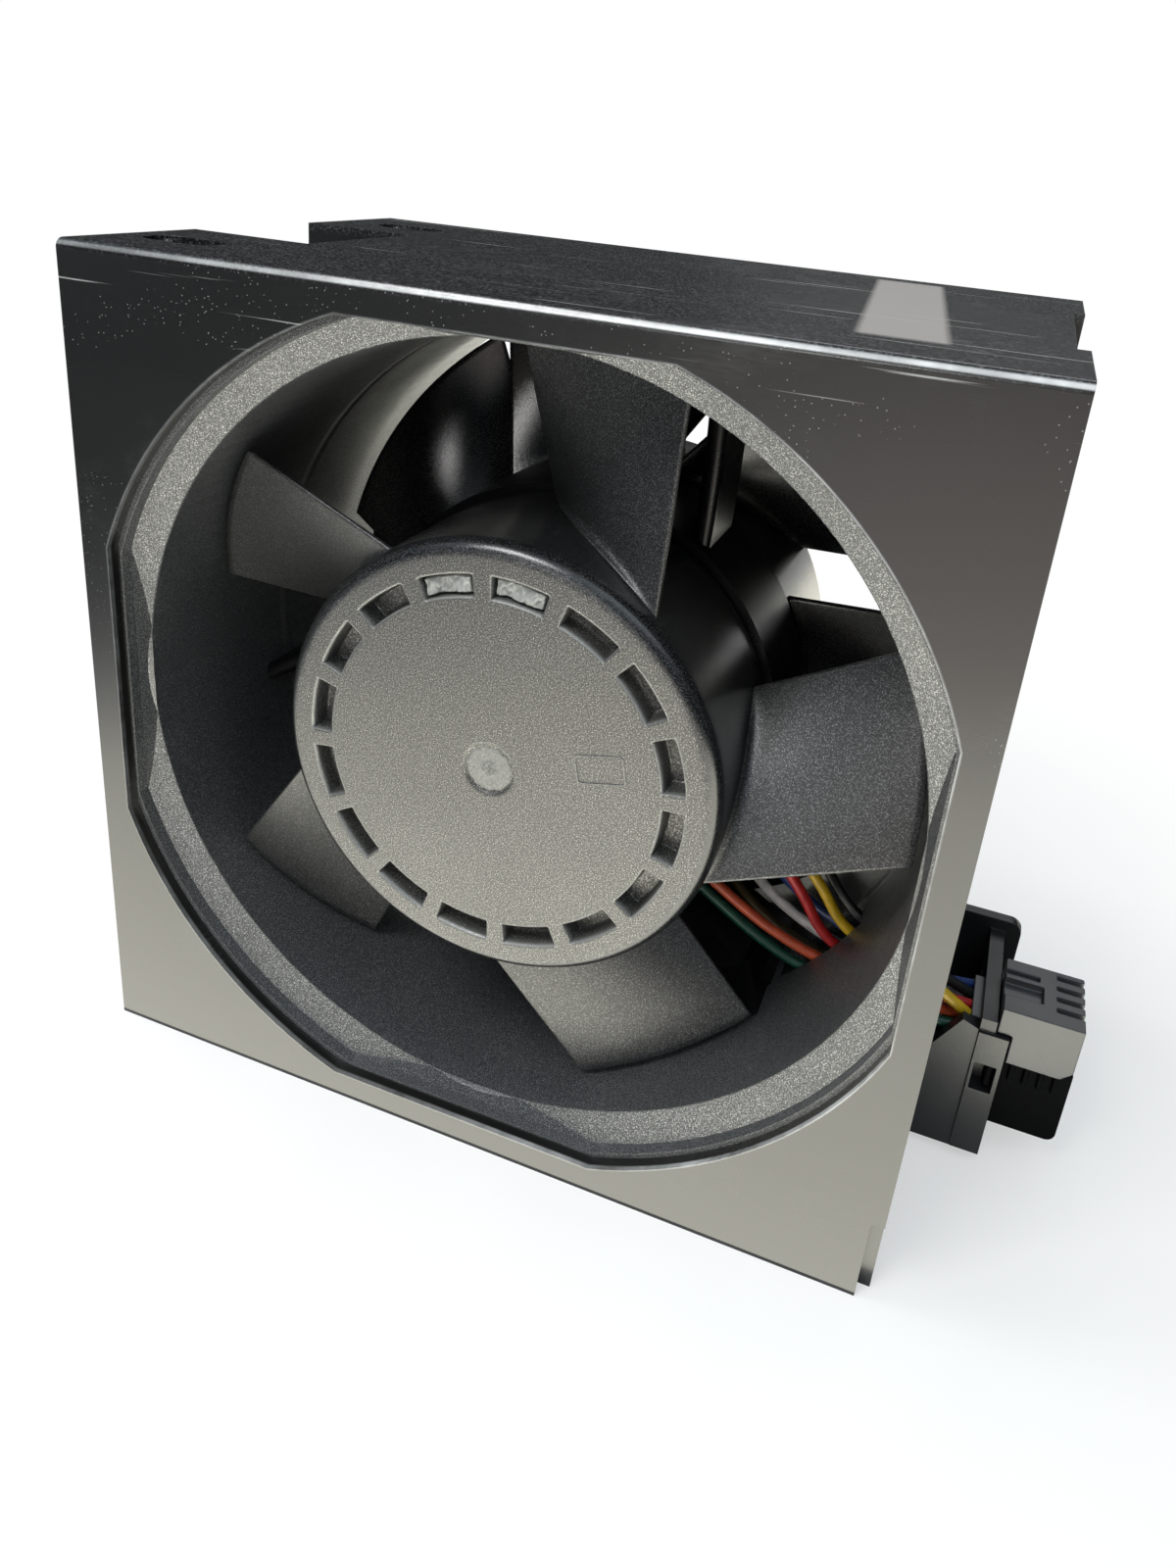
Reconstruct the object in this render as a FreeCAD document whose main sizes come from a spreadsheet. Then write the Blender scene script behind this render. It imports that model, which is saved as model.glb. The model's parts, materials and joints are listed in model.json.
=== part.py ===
"""Server fan module: a moulded carrier that holds two counter-rotating axial fans.

Working frame, shared by every sketch and primitive: the rotor axis is Y, the inlet face of the
carrier is Y = 0 and air moves towards +Y.  Fan parts are drawn in a fan's own frame, where Y is the
depth behind that fan's outer face; the rear fan is the same frame turned half a turn about Z.
Placements then stand the module on the centre of its underside: Z = 0 is the bottom face.
"""
import FreeCAD, Part
import Sketcher
import math
import os
import re
from FreeCAD import Placement, Rotation, Vector

DOC = FreeCAD.newDocument("server_fan_module")

SIZES = {
    # carrier
    "plate_side": 126.0, "plate_wall": 2.3, "carrier_depth": 84.0, "carrier_wall": 2.8,
    "opening_radius": 62.4, "opening_flat": 58.6, "front_round": 1.3,
    "notch_width": 19.6, "notch_front": 27.3, "notch_back": 56.7, "notch_drop": 18.0,
    "slit_width": 1.8, "slit_top": 49.3, "rail_depth": 1.5, "rail_front": 23.1, "rail_back": 62.0,
    "rail_drop": 9.0, "dimple_radius": 3.4, "dimple_depth": 1.3, "dimple_reach": 5.0,
    "hook_reach": 2.4, "hook_thick": 2.0, "hook_width": 14.0, "fan_gap": 0.3,
    # fan frame
    "fan_side": 119.5, "fan_depth": 38.0, "flange_thick": 4.5, "flange_corner": 4.0,
    "rim_radius": 61.6, "rim_flat": 58.3, "rim_wall": 2.0, "mouth_depth": 2.0,
    "throat_radius": 57.6, "throat_flat": 57.25, "barrel_outer": 59.7,
    "bolt_spacing": 105.0, "bolt_hole": 2.15,
    "base_radius": 33.6, "base_rim_wall": 1.6, "base_start": 29.0, "base_floor": 35.8,
    "boss_radius": 9.0, "boss_neck": 8.0, "boss_start": 24.5,
    "strut_start": 30.9, "strut_thick": 3.2, "strut_sweep": 16.0,
    "duct_start": 29.2, "duct_wall": 1.6, "ramp_start": 21.9, "ramp_radius": 52.4,
    "lead_slot_start": 30.4, "lead_slot_inner": 40.5, "lead_slot_low": 43.5, "lead_slot_high": 27.0,
    # rotor
    "hub_front": 2.3, "hub_rear": 28.15, "hub_radius": 32.5, "hub_inner": 30.95, "hub_face": 4.6,
    "hub_round": 2.3, "tip_radius": 56.4, "blade_root": 31.4,
    "pocket_inner": 24.9, "pocket_outer": 27.8, "pocket_angle": 16.4, "pocket_depth": 3.4,
    "gate_radius": 3.7, "gate_depth": 0.3, "gate_nub": 1.2,
    "yoke_thick": 1.0, "yoke_rear": 27.4, "magnet_thick": 3.0, "magnet_front": 9.5,
    "magnet_rear": 26.8, "shaft_radius": 2.0, "shaft_rear": 34.9,
    # motor
    "bore_radius": 5.5, "tube_outer": 7.0, "tube_land": 4.8, "tube_front": 10.6,
    "socket_floor": 1.6, "race_outer": 4.35, "race_inner": 3.15, "race_play": 0.05, "collar_length": 2.6,
    "bearing_width": 4.0, "front_bearing": 11.4, "rear_bearing": 29.6, "ball_radius": 0.95,
    "core_radius": 26.4, "core_front": 12.5, "core_length": 12.0, "tooth_width": 4.2,
    "slot_inner": 11.5, "slot_outer": 23.4, "slot_mouth": 1.8,
    "liner_thick": 1.0, "coil_thick": 1.9, "coil_inner": 13.6, "coil_outer": 22.4,
    "board_radius": 31.4, "board_bore": 8.2, "board_front": 32.6, "board_thick": 1.4,
    # blades: angle from +X towards +Z in degrees and depth, at the hub and at the tip
    "front_lead_hub_turn": 52.0, "front_lead_hub_depth": 6.6,
    "front_lead_tip_turn": 69.2, "front_lead_tip_depth": 11.0,
    "front_trail_hub_turn": 92.0, "front_trail_hub_depth": 23.9,
    "front_trail_tip_turn": 96.7, "front_trail_tip_depth": 20.3,
    "rear_lead_hub_turn": -1.6, "rear_lead_hub_depth": 24.2,
    "rear_lead_tip_turn": 11.4, "rear_lead_tip_depth": 18.0,
    "rear_trail_hub_turn": 44.5, "rear_trail_hub_depth": 5.8,
    "rear_trail_tip_turn": 57.0, "rear_trail_tip_depth": 10.0,
    "blade_thick_hub": 2.2, "blade_thick_tip": 1.5, "blade_edge": 0.7, "blade_camber": 0.3,
    # connector
    "wall_left": 70.9, "wall_right": 73.2, "bracket_front": 31.3, "bracket_back": 57.0,
    "bracket_reach": 75.3, "bracket_bottom": -61.5, "bracket_sheet": 2.0, "face_top": -38.3,
    "face_peak": 68.4, "ear_top": -34.1, "bar_top": -36.1,
    "window_left": 71.4, "window_right": 74.6, "window_low": -48.9, "window_high": -43.9,
    "house_right": 85.0, "house_front": 31.5, "house_back": 44.2, "house_top": -33.5,
    "house_bottom": -43.0, "groove_end": 79.0, "groove_front": 35.4, "groove_back": 39.4,
    "slot_left": 81.0, "neck_left": 69.5, "neck_front": 33.8, "neck_back": 44.0, "neck_top": -38.0,
    "neck_bottom": -42.6, "guide_bottom": -56.5, "column_first": 35.0, "column_pitch": 2.6,
    "row_upper": -39.2, "row_lower": -41.4, "contact_side": 1.3, "lead_radius": 0.85,
    # fasteners
    "screw_radius": 2.0, "head_radius": 3.6, "head_height": 2.2, "nut_radius": 4.04, "nut_height": 3.2,
}
WORD = re.compile(r"[a-z][a-z_]+")


def make_sheet():
    """Spreadsheet with one named cell for each driving dimension, in millimetres."""
    sheet = DOC.addObject("Spreadsheet::Sheet", "sizes")
    for row, (alias, value) in enumerate(SIZES.items(), 1):
        sheet.set(f"A{row}", alias)
        sheet.set(f"B{row}", str(value))
        sheet.setAlias(f"B{row}", alias)
    DOC.recompute()
    return sheet


SHEET = make_sheet()


def size(name):
    """Value of one cell, for shapes that are worked out in code."""
    return float(SHEET.get(name))


def bind(item, prop, formula):
    """Tie a property to a formula of sheet names, such as 'plate_side / 2'."""
    linked = WORD.sub(lambda word: "sizes." + word.group() if word.group() in SIZES else word.group(),
                      str(formula))
    item.setExpression(prop, linked)


def add(kind, name):
    return DOC.addObject(kind, name)


# ---------------------------------------------------------------- primitives and booleans

def place(item, x="0", y="0", z="0"):
    for axis, formula in zip("xyz", (x, y, z)):
        bind(item, f".Placement.Base.{axis}", formula)
    return item


def block(name, x, y, z):
    """Box between two formulas on each axis."""
    item = add("Part::Box", name)
    for prop, (low, high) in zip(("Length", "Width", "Height"), (x, y, z)):
        bind(item, prop, f"({high}) - ({low})")
    return place(item, x[0], y[0], z[0])


def rod(name, radius, start, end, x="0", z="0"):
    """Cylinder along Y."""
    item = add("Part::Cylinder", name)
    item.Placement = Placement(Vector(), Rotation(Vector(1, 0, 0), -90))
    bind(item, "Radius", radius)
    bind(item, "Height", f"({end}) - ({start})")
    return place(item, x, start, z)


def taper(name, radius_a, radius_b, start, end):
    """Cone frustum along Y."""
    item = add("Part::Cone", name)
    item.Placement = Placement(Vector(), Rotation(Vector(1, 0, 0), -90))
    bind(item, "Radius1", radius_a)
    bind(item, "Radius2", radius_b)
    bind(item, "Height", f"({end}) - ({start})")
    return place(item, "0", start, "0")


def cross_pin(name, radius, x, y, z):
    """Cylinder along X between two formulas."""
    item = add("Part::Cylinder", name)
    item.Placement = Placement(Vector(), Rotation(Vector(0, 1, 0), 90))
    bind(item, "Radius", radius)
    bind(item, "Height", f"({x[1]}) - ({x[0]})")
    return place(item, x[0], y, z)


def fuse(name, *parts):
    item = add("Part::MultiFuse", name)
    item.Shapes = list(parts)
    item.Refine = True
    return item


def common(name, *parts):
    item = add("Part::MultiCommon", name)
    item.Shapes = list(parts)
    return item


def cut(name, base, *tools):
    item = add("Part::Cut", name)
    item.Base = base
    item.Tool = tools[0] if len(tools) == 1 else fuse(name + "_tools", *tools)
    item.Refine = True
    return item


def group(name, *parts):
    """Separate solids of one kind that share a node."""
    item = add("Part::Compound", name)
    item.Links = list(parts)
    return item


def shaped(name, shape):
    """Form worked out in code from the sheet."""
    item = add("Part::Feature", name)
    item.Shape = shape
    return item


def rounded(name, base, radius, wanted):
    """Fillet on the edges that the test picks out."""
    DOC.recompute()
    item = add("Part::Fillet", name)
    item.Base = base
    value = size(radius) if isinstance(radius, str) else radius
    picked = [index for index, edge in enumerate(base.Shape.Edges, 1) if wanted(edge)]
    item.Edges = [(index, value, value) for index in picked]
    return item


def along(edge, axis):
    """True for a straight edge parallel to one axis (0, 1 or 2)."""
    if not isinstance(edge.Curve, Part.Line):
        return False
    direction = edge.Curve.Direction
    return abs(abs(direction[axis]) - 1.0) < 1e-6


# ---------------------------------------------------------------- sketched bodies

def origin_plane(body, role):
    return next(item for item in body.Origin.OriginFeatures if item.Role == role)


def outline(body, name, role, points, offset=None):
    """Closed sketch of straight edges; each corner is a pair of formulas, held by two distances."""
    sketch = body.newObject("Sketcher::SketchObject", name)
    sketch.AttachmentSupport = (origin_plane(body, role), [""])
    sketch.MapMode = "FlatFace"
    if offset:
        bind(sketch, ".AttachmentOffset.Base.z", offset)
    count = len(points)
    turn = 2 * math.pi / count
    ring = [Vector(math.cos(turn * index), math.sin(turn * index), 0) * 10 for index in range(count)]
    for index in range(count):
        sketch.addGeometry(Part.LineSegment(ring[index], ring[(index + 1) % count]), False)
    for index in range(count):
        sketch.addConstraint(Sketcher.Constraint("Coincident", index, 2, (index + 1) % count, 1))
    for index, corner in enumerate(points):
        for kind, axis, formula in zip(("DistanceX", "DistanceY"), (-2, -1), corner):
            pin_corner(sketch, index, kind, axis, formula)
    return sketch


def pin_corner(sketch, index, kind, axis, formula):
    """Hold one corner at a formula's distance from the origin, or on the axis itself."""
    if formula == "0":
        sketch.addConstraint(Sketcher.Constraint("PointOnObject", index, 1, axis))
        return
    made = sketch.addConstraint(Sketcher.Constraint(kind, -1, 1, index, 1, 10.0))
    bind(sketch, f"Constraints[{made}]", formula)


def turned(name, points):
    """Body of revolution about Y; the points are pairs (radius, depth)."""
    body = add("PartDesign::Body", name)
    profile = outline(body, name + "_profile", "XY_Plane", points)
    spin = body.newObject("PartDesign::Revolution", name + "_turn")
    spin.Profile = profile
    spin.ReferenceAxis = (profile, ["V_Axis"])
    spin.Angle = 360.0
    profile.Visibility = False
    return body


def polar(body, name, feature, count):
    """Copies of one feature round Y."""
    pattern = body.newObject("PartDesign::PolarPattern", name)
    axis = next(item for item in body.Origin.OriginFeatures if item.Role == "Y_Axis")
    pattern.Originals = [feature]
    pattern.Axis = (axis, [""])
    pattern.Angle = 360.0
    pattern.Occurrences = count
    body.Tip = pattern
    return pattern


# ---------------------------------------------------------------- where finished pieces stand

NODES = []


def finish(item, node, y="0", turned_round=False):
    """Name a finished piece and stand it in the module, with Y = 0 at the given depth."""
    item.Label = node
    if turned_round:
        item.Placement = Placement(Vector(), Rotation(Vector(0, 0, 1), 180))
    place(item, "0", f"({y}) - carrier_depth / 2", "plate_side / 2")
    NODES.append(item)
    return item


class Fan:
    """One of the two axial fans: its name, where it stands and how its struts and blades lie."""

    def __init__(self, name, seat, turned_round, blades, strut_turns, duct_turn, lead_turns):
        self.name = name
        self.seat = seat
        self.turned_round = turned_round
        self.blades = blades
        self.strut_turns = strut_turns
        self.duct_turn = duct_turn
        self.lead_turns = lead_turns

    def finish(self, item, part):
        return finish(item, f"{self.name}_{part}", self.seat, self.turned_round)


FRONT = Fan("front", "plate_wall", False, 5, (56, 176), (-79, -57.5), (-58, -10))
REAR = Fan("rear", "plate_wall + 2 * fan_depth", True, 7, (4, 124), (237.5, 259), (190, 238))
SCREW_DEPTHS = ("59.0", "48.5")


# ---------------------------------------------------------------- shapes worked out in code

def at(radius, turn, depth=0.0):
    """Point at a radius and an angle from +X towards +Z."""
    angle = math.radians(turn)
    return Vector(radius * math.cos(angle), depth, radius * math.sin(angle))


def sector(inner, outer, turn_a, turn_b, start, end):
    """Ring sector: a rectangle in radius and depth swept from one angle to another."""
    corners = [at(inner, turn_a, start), at(outer, turn_a, start),
               at(outer, turn_a, end), at(inner, turn_a, end)]
    face = Part.Face(Part.makePolygon(corners + corners[:1]))
    return face.revolve(Vector(), Vector(0, -1, 0), turn_b - turn_a)


def sector_profile(points, turn_a, turn_b):
    """Any (radius, depth) profile swept from one angle to another."""
    corners = [at(radius, turn_a, depth) for radius, depth in points]
    face = Part.Face(Part.makePolygon(corners + corners[:1]))
    return face.revolve(Vector(), Vector(0, -1, 0), turn_b - turn_a)


# ---------------------------------------------------------------- carrier

def carrier():
    """Moulded sleeve: front plate, four walls, finger notch, rail relief, dimples and snap hooks."""
    half = "plate_side / 2"
    inner = "plate_side / 2 - carrier_wall"
    shell = block("carrier_block", ("-" + half, half), ("0", "carrier_depth"), ("-" + half, half))
    shell = rounded("carrier_round", shell, "front_round", front_top_edge)
    hollow = block("carrier_hollow", (f"-({inner})", inner), ("plate_wall", "carrier_depth + 1"),
                   (f"-({inner})", inner))
    mouth = flatted_circle("plate_opening", "opening_radius", "opening_flat", "-1", "plate_wall + 1")
    notch = block("finger_notch", (f"-{half} - 1", f"-{half} + notch_width"),
                  ("notch_front", "notch_back"), (f"{half} - notch_drop", f"{half} + 1"))
    slit = block("corner_slit", (f"{half} - slit_width", f"{half} + 1"), ("-1", "plate_wall"),
                 (f"-{half} - 1", "-slit_top"))
    rail = block("rail_relief", (f"{half} - rail_depth", f"{half} + 1"), ("rail_front", "rail_back"),
                 (f"{half} - rail_drop", f"{half} + 1"))
    lead_exit = block("lead_exit", (f"{inner} - 1", f"{half} + 1"), ("32.4", "42.0"), ("-45.5", "-31.0"))
    body = cut("carrier_shell", shell, hollow, mouth, notch, slit, rail, lead_exit,
               *dimple("front", "13.4", "-56.1"), *dimple("back", "69.3", "-52.7"), *bracket_pilots())
    return finish(fuse("carrier_whole", body, *snap_hooks(), *dimple_pips()), "carrier")


def front_top_edge(edge):
    middle = edge.CenterOfMass
    return along(edge, 0) and middle.y < 1.0 and middle.z > 0


def flatted_circle(name, radius, flat, start, end):
    """Disc whose four sides are cut straight."""
    disc = rod(name + "_disc", radius, start, end)
    square = block(name + "_square", (f"-({flat})", flat), (start, end), (f"-({flat})", flat))
    return common(name, disc, square)


def dimple(name, depth, across):
    """Shallow round-ended recess in the top wall."""
    top = "plate_side / 2"
    pools = []
    for index, shift in enumerate(("0", "dimple_reach")):
        pool = add("Part::Cylinder", f"{name}_dimple_{index}")
        bind(pool, "Radius", "dimple_radius")
        bind(pool, "Height", "dimple_depth + 1")
        pools.append(place(pool, f"{across} + {shift}", depth, f"{top} - dimple_depth"))
    bar = block(name + "_dimple_bar", (across, f"{across} + dimple_reach"),
                (f"{depth} - dimple_radius", f"{depth} + dimple_radius"), (f"{top} - dimple_depth", f"{top} + 1"))
    return pools + [bar]


def dimple_pips():
    """Small moulded peg standing in each dimple."""
    pips = []
    for name, depth, across in (("front", "13.4", "-56.1"), ("back", "69.3", "-52.7")):
        pip = add("Part::Cone", name + "_pip")
        bind(pip, "Radius1", "1.3")
        bind(pip, "Radius2", "0.9")
        bind(pip, "Height", "dimple_depth + 0.1")
        pips.append(place(pip, across, depth, "plate_side / 2 - dimple_depth - 0.2"))
    return pips


def snap_hooks():
    """Four moulded hooks behind the rear fan, one on each wall, with a ramped nose."""
    reach = size("hook_reach")
    wall = size("plate_side") / 2 - size("carrier_wall")
    back = size("plate_wall") + 2 * size("fan_depth") + size("fan_gap")
    half = size("hook_width") / 2
    nose = [Vector(-half, back, wall + 0.5), Vector(-half, back, wall - reach),
            Vector(-half, back + size("hook_thick"), wall - reach), Vector(-half, back + 5.0, wall + 0.5)]
    hook = Part.Face(Part.makePolygon(nose + nose[:1])).extrude(Vector(2 * half, 0, 0))
    hooks = []
    for index in range(4):
        turned_hook = hook.copy()
        turned_hook.rotate(Vector(), Vector(0, 1, 0), 90 * index)
        hooks.append(shaped(f"snap_hook_{index}", turned_hook))
    return hooks


def bracket_pilots():
    """Pilot holes for the two bracket screws in the right wall."""
    reach = ("plate_side / 2 - carrier_wall - 1", "plate_side / 2 + 1")
    return [cross_pin(f"pilot_{index}", "1.0", reach, depth, "-53.0")
            for index, depth in enumerate(SCREW_DEPTHS)]


# ---------------------------------------------------------------- fan frames

def fan_frame(fan):
    """Square frame: flanges, barrel and bell mouth with facets."""
    start = fan.name
    rear = "fan_depth"
    flanges = [flange(start + "_inlet_flange", "0", "flange_thick"),
               flange(start + "_motor_flange", "fan_depth - flange_thick", rear)]
    barrel = rod(start + "_barrel", "barrel_outer", "0", rear)
    body = cut(start + "_frame_body", fuse(start + "_frame_solid", barrel, *flanges),
               *air_way(start), *bolt_holes(start), *lead_slot(fan))
    return fan.finish(body, "fan_frame")


def motor_support(fan):
    """Motor base on its struts and lead duct, trimmed to the barrel's bore that they run into."""
    start = fan.name
    base = motor_base(fan)
    struts = [shaped(f"{start}_strut_{turn}", strut(turn, fan)) for turn in fan.strut_turns]
    duct = shaped(start + "_duct", lead_duct(fan))
    whole = fuse(start + "_support_whole", base, duct, *struts)
    bore = rod(start + "_support_bore", "throat_radius", "0", "fan_depth")
    return fan.finish(common(start + "_support_trim", whole, bore), "motor_support")


def flange(name, start, end):
    half = "fan_side / 2"
    plate = block(name + "_plate", (f"-{half}", half), (start, end), (f"-{half}", half))
    return rounded(name, plate, "flange_corner", lambda edge: along(edge, 1))


def air_way(start):
    """Everything the air passes: flatted rim, conical mouth trimmed by four facets, barrel."""
    mouth_end = "rim_wall + mouth_depth"
    rim = flatted_circle(start + "_rim", "rim_radius", "rim_flat", "-1", "rim_wall")
    cone = taper(start + "_mouth_cone", "rim_radius", "throat_radius", "rim_wall", mouth_end)
    facets = shaped(start + "_mouth_facets", facet_frustum())
    barrel = rod(start + "_bore", "throat_radius", mouth_end, "fan_depth + 1")
    return [rim, common(start + "_mouth", cone, facets), barrel]


def facet_frustum():
    """Square frustum whose four sides cut the bell mouth at the flats of the rim."""
    near = square_wire(size("rim_flat"), size("rim_wall"))
    far = square_wire(size("throat_flat"), size("rim_wall") + size("mouth_depth"))
    return Part.makeLoft([near, far], True, True)


def square_wire(half, depth):
    corners = [Vector(x * half, depth, z * half) for x, z in ((-1, -1), (1, -1), (1, 1), (-1, 1))]
    return Part.makePolygon(corners + corners[:1])


def bolt_holes(start):
    half = "bolt_spacing / 2"
    return [rod(f"{start}_bolt_{index}", "bolt_hole", "-1", "fan_depth + 1", f"{x}{half}", f"{z}{half}")
            for index, (x, z) in enumerate((("-", "-"), ("", "-"), ("", ""), ("-", "")))]


def lead_slot(fan):
    """Notch in the front fan's inner flange where all the leads leave the barrel."""
    if fan.turned_round:
        return []
    return [block("lead_slot", ("lead_slot_inner", "fan_side / 2 + 1"),
                  ("lead_slot_start", "fan_depth + 1"), ("-lead_slot_low", "-lead_slot_high"))]


def motor_base(fan):
    """Cup behind the rotor: floor, rim with a gap for the leads and a boss for the bearing tube."""
    name = fan.name
    floor = rod(name + "_base_floor", "base_radius", "base_floor", "fan_depth")
    rim = rod(name + "_base_rim", "base_radius", "base_start", "base_floor")
    inside = rod(name + "_base_inside", "base_radius - base_rim_wall", "base_start - 1", "base_floor")
    gap = shaped(name + "_base_gap", lead_gap(fan))
    boss = rod(name + "_boss", "boss_radius", "board_front + board_thick", "fan_depth")
    neck = rod(name + "_boss_neck", "boss_neck", "boss_start", "board_front + board_thick")
    socket = rod(name + "_tube_socket", "tube_outer", "boss_start - 1", "fan_depth - 1.6")
    walls = cut(name + "_base_walls", rim, inside, gap)
    return cut(name + "_base", fuse(name + "_base_solid", floor, walls, boss, neck), socket)


def lead_gap(fan):
    start = size("board_front") - 2 * size("lead_radius") - 0.4
    turn_a, turn_b = fan.lead_turns
    end = size("board_front") + 0.2
    return sector(size("base_radius") - 2.5, size("base_radius") + 1, turn_a, turn_b, start, end)


def strut(turn, fan):
    """Swept strut: an arc-sided strip from the motor base to the barrel, its front edge rounded."""
    sweep = size("strut_sweep") * (-1 if fan.turned_round else 1)
    inner, outer = size("base_radius") - 0.8, size("throat_radius") + 1.0
    stations = [(inner, turn), ((inner + outer) / 2, turn + 0.62 * sweep), (outer, turn + sweep)]
    half = size("strut_thick") / 2
    left = [at(radius, angle + math.degrees(half / radius)) for radius, angle in stations]
    right = [at(radius, angle - math.degrees(half / radius)) for radius, angle in stations]
    edges = [Part.Arc(*left).toShape(), Part.makeLine(left[2], right[2]),
             Part.Arc(right[2], right[1], right[0]).toShape(), Part.makeLine(right[0], left[0])]
    strip = Part.Face(Part.Wire(edges)).extrude(Vector(0, size("fan_depth") - size("strut_start"), 0))
    nose = [edge for edge in strip.Edges
            if isinstance(edge.Curve, Part.Circle) and edge.CenterOfMass.y < 0.01]
    strip = strip.makeFillet(half * 0.8, nose)
    strip.translate(Vector(0, size("strut_start"), 0))
    return strip


def lead_duct(fan):
    """Wide trough-shaped strut beside the leads, with a ramp where it meets the barrel."""
    low, high = fan.duct_turn
    start, end, wall = size("duct_start"), size("fan_depth"), size("duct_wall")
    drift = -11.0 if fan.turned_round else 11.0
    inner, outer = size("base_radius") - 0.8, size("throat_radius") + 1.0
    solid = skewed_prism(inner, outer, low, high, drift, start, end)
    edge = math.degrees(wall / inner)
    trough = skewed_prism(inner + 2 * wall, outer - 4 * wall, low + edge, high - edge, drift, start + wall, end + 1)
    ramp = [(size("ramp_radius"), start), (outer - 1.0, size("ramp_start")),
            (outer, size("ramp_start")), (outer, end), (size("ramp_radius"), end)]
    wedge = sector_profile(ramp, low + drift + 3.0, high + drift - 1.0)
    return solid.fuse(wedge).cut(trough).removeSplitter()


def skewed_prism(inner, outer, low, high, drift, start, end):
    """Four-sided prism between two radii whose sides lean by the drift angle on the way out."""
    middle = (inner + outer) / 2
    lower = [at(inner, low, start), at(middle, low + 0.55 * drift, start), at(outer, low + drift, start)]
    upper = [at(inner, high, start), at(middle, high + 0.55 * drift, start), at(outer, high + drift, start)]
    edges = [Part.Arc(*lower).toShape(), Part.makeLine(lower[2], upper[2]),
             Part.Arc(upper[2], upper[1], upper[0]).toShape(), Part.makeLine(upper[0], lower[0])]
    return Part.Face(Part.Wire(edges)).extrude(Vector(0, end - start, 0))


# ---------------------------------------------------------------- rotors

def impeller(fan):
    """Moulded hub with balance pockets and twisted blades."""
    hub = turned(fan.name + "_hub", [
        ("0", "hub_front"), ("hub_radius", "hub_front"), ("hub_radius", "hub_rear"),
        ("hub_inner", "hub_rear"), ("hub_inner", "hub_front + hub_face"), ("0", "hub_front + hub_face")])
    DOC.recompute()
    balance_pockets(hub, fan)
    gate_mark(hub, fan)
    smooth = rounded(fan.name + "_hub_round", hub, "hub_round", hub_front_edge)
    blades = [shaped(f"{fan.name}_blade_{index}", blade(fan, index)) for index in range(fan.blades)]
    return fan.finish(fuse(fan.name + "_impeller_whole", smooth, *blades), "impeller")


def hub_front_edge(edge):
    return (isinstance(edge.Curve, Part.Circle) and abs(edge.Curve.Radius - size("hub_radius")) < 1e-6
            and abs(edge.CenterOfMass.y - size("hub_front")) < 1e-6)


FIRST_POCKET = 16.4
POCKETS = 16


def balance_pockets(hub, fan):
    """Ring of curved pockets in the hub's face, for balancing putty."""
    profile = outline(hub, fan.name + "_pocket_profile", "XY_Plane", [
        ("pocket_inner", "hub_front - 1"), ("pocket_outer", "hub_front - 1"),
        ("pocket_outer", "hub_front + pocket_depth"), ("pocket_inner", "hub_front + pocket_depth")])
    profile.AttachmentOffset = Placement(Vector(), Rotation(Vector(0, 1, 0), -FIRST_POCKET))
    pocket = hub.newObject("PartDesign::Groove", fan.name + "_pocket")
    pocket.Profile = profile
    pocket.ReferenceAxis = (profile, ["V_Axis"])
    pocket.Midplane = True
    bind(pocket, "Angle", "pocket_angle")
    DOC.recompute()
    polar(hub, fan.name + "_pockets", pocket, POCKETS)


def gate_mark(hub, fan):
    """Shallow round recess at the middle of the hub, left by the moulding gate."""
    profile = outline(hub, fan.name + "_gate_profile", "XY_Plane", [
        ("gate_nub", "hub_front - 1"), ("gate_radius", "hub_front - 1"),
        ("gate_radius", "hub_front + gate_depth"), ("gate_nub", "hub_front + gate_depth")])
    gate = hub.newObject("PartDesign::Groove", fan.name + "_gate")
    gate.Profile = profile
    gate.ReferenceAxis = (profile, ["V_Axis"])
    gate.Angle = 360.0
    hub.Tip = gate


def blade(fan, index):
    """One twisted blade: two interpolated skins over a radius-by-chord grid, closed all round."""
    turn = 360.0 / fan.blades * index
    radii = [size("blade_root") + (size("tip_radius") - size("blade_root")) * step / 4 for step in range(5)]
    chords = [step / 6 for step in range(7)]
    skins = []
    for side in (-1, 1):
        grid = [[blade_point(fan, radius, chord, side, turn) for chord in chords] for radius in radii]
        skin = Part.BSplineSurface()
        skin.interpolate(grid)
        skins.append(skin)
    faces = [skin.toShape() for skin in skins]
    low, high = skins[0].bounds()[:2]
    near, far = skins[0].bounds()[2:]
    for value in (low, high):
        faces.append(Part.makeRuledSurface(skins[0].uIso(value).toShape(), skins[1].uIso(value).toShape()))
    for value in (near, far):
        faces.append(Part.makeRuledSurface(skins[0].vIso(value).toShape(), skins[1].vIso(value).toShape()))
    shell = Part.Shell(faces)
    shell.sewShape()
    solid = Part.Solid(shell)
    if solid.Volume < 0:
        solid.reverse()
    return solid


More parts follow.
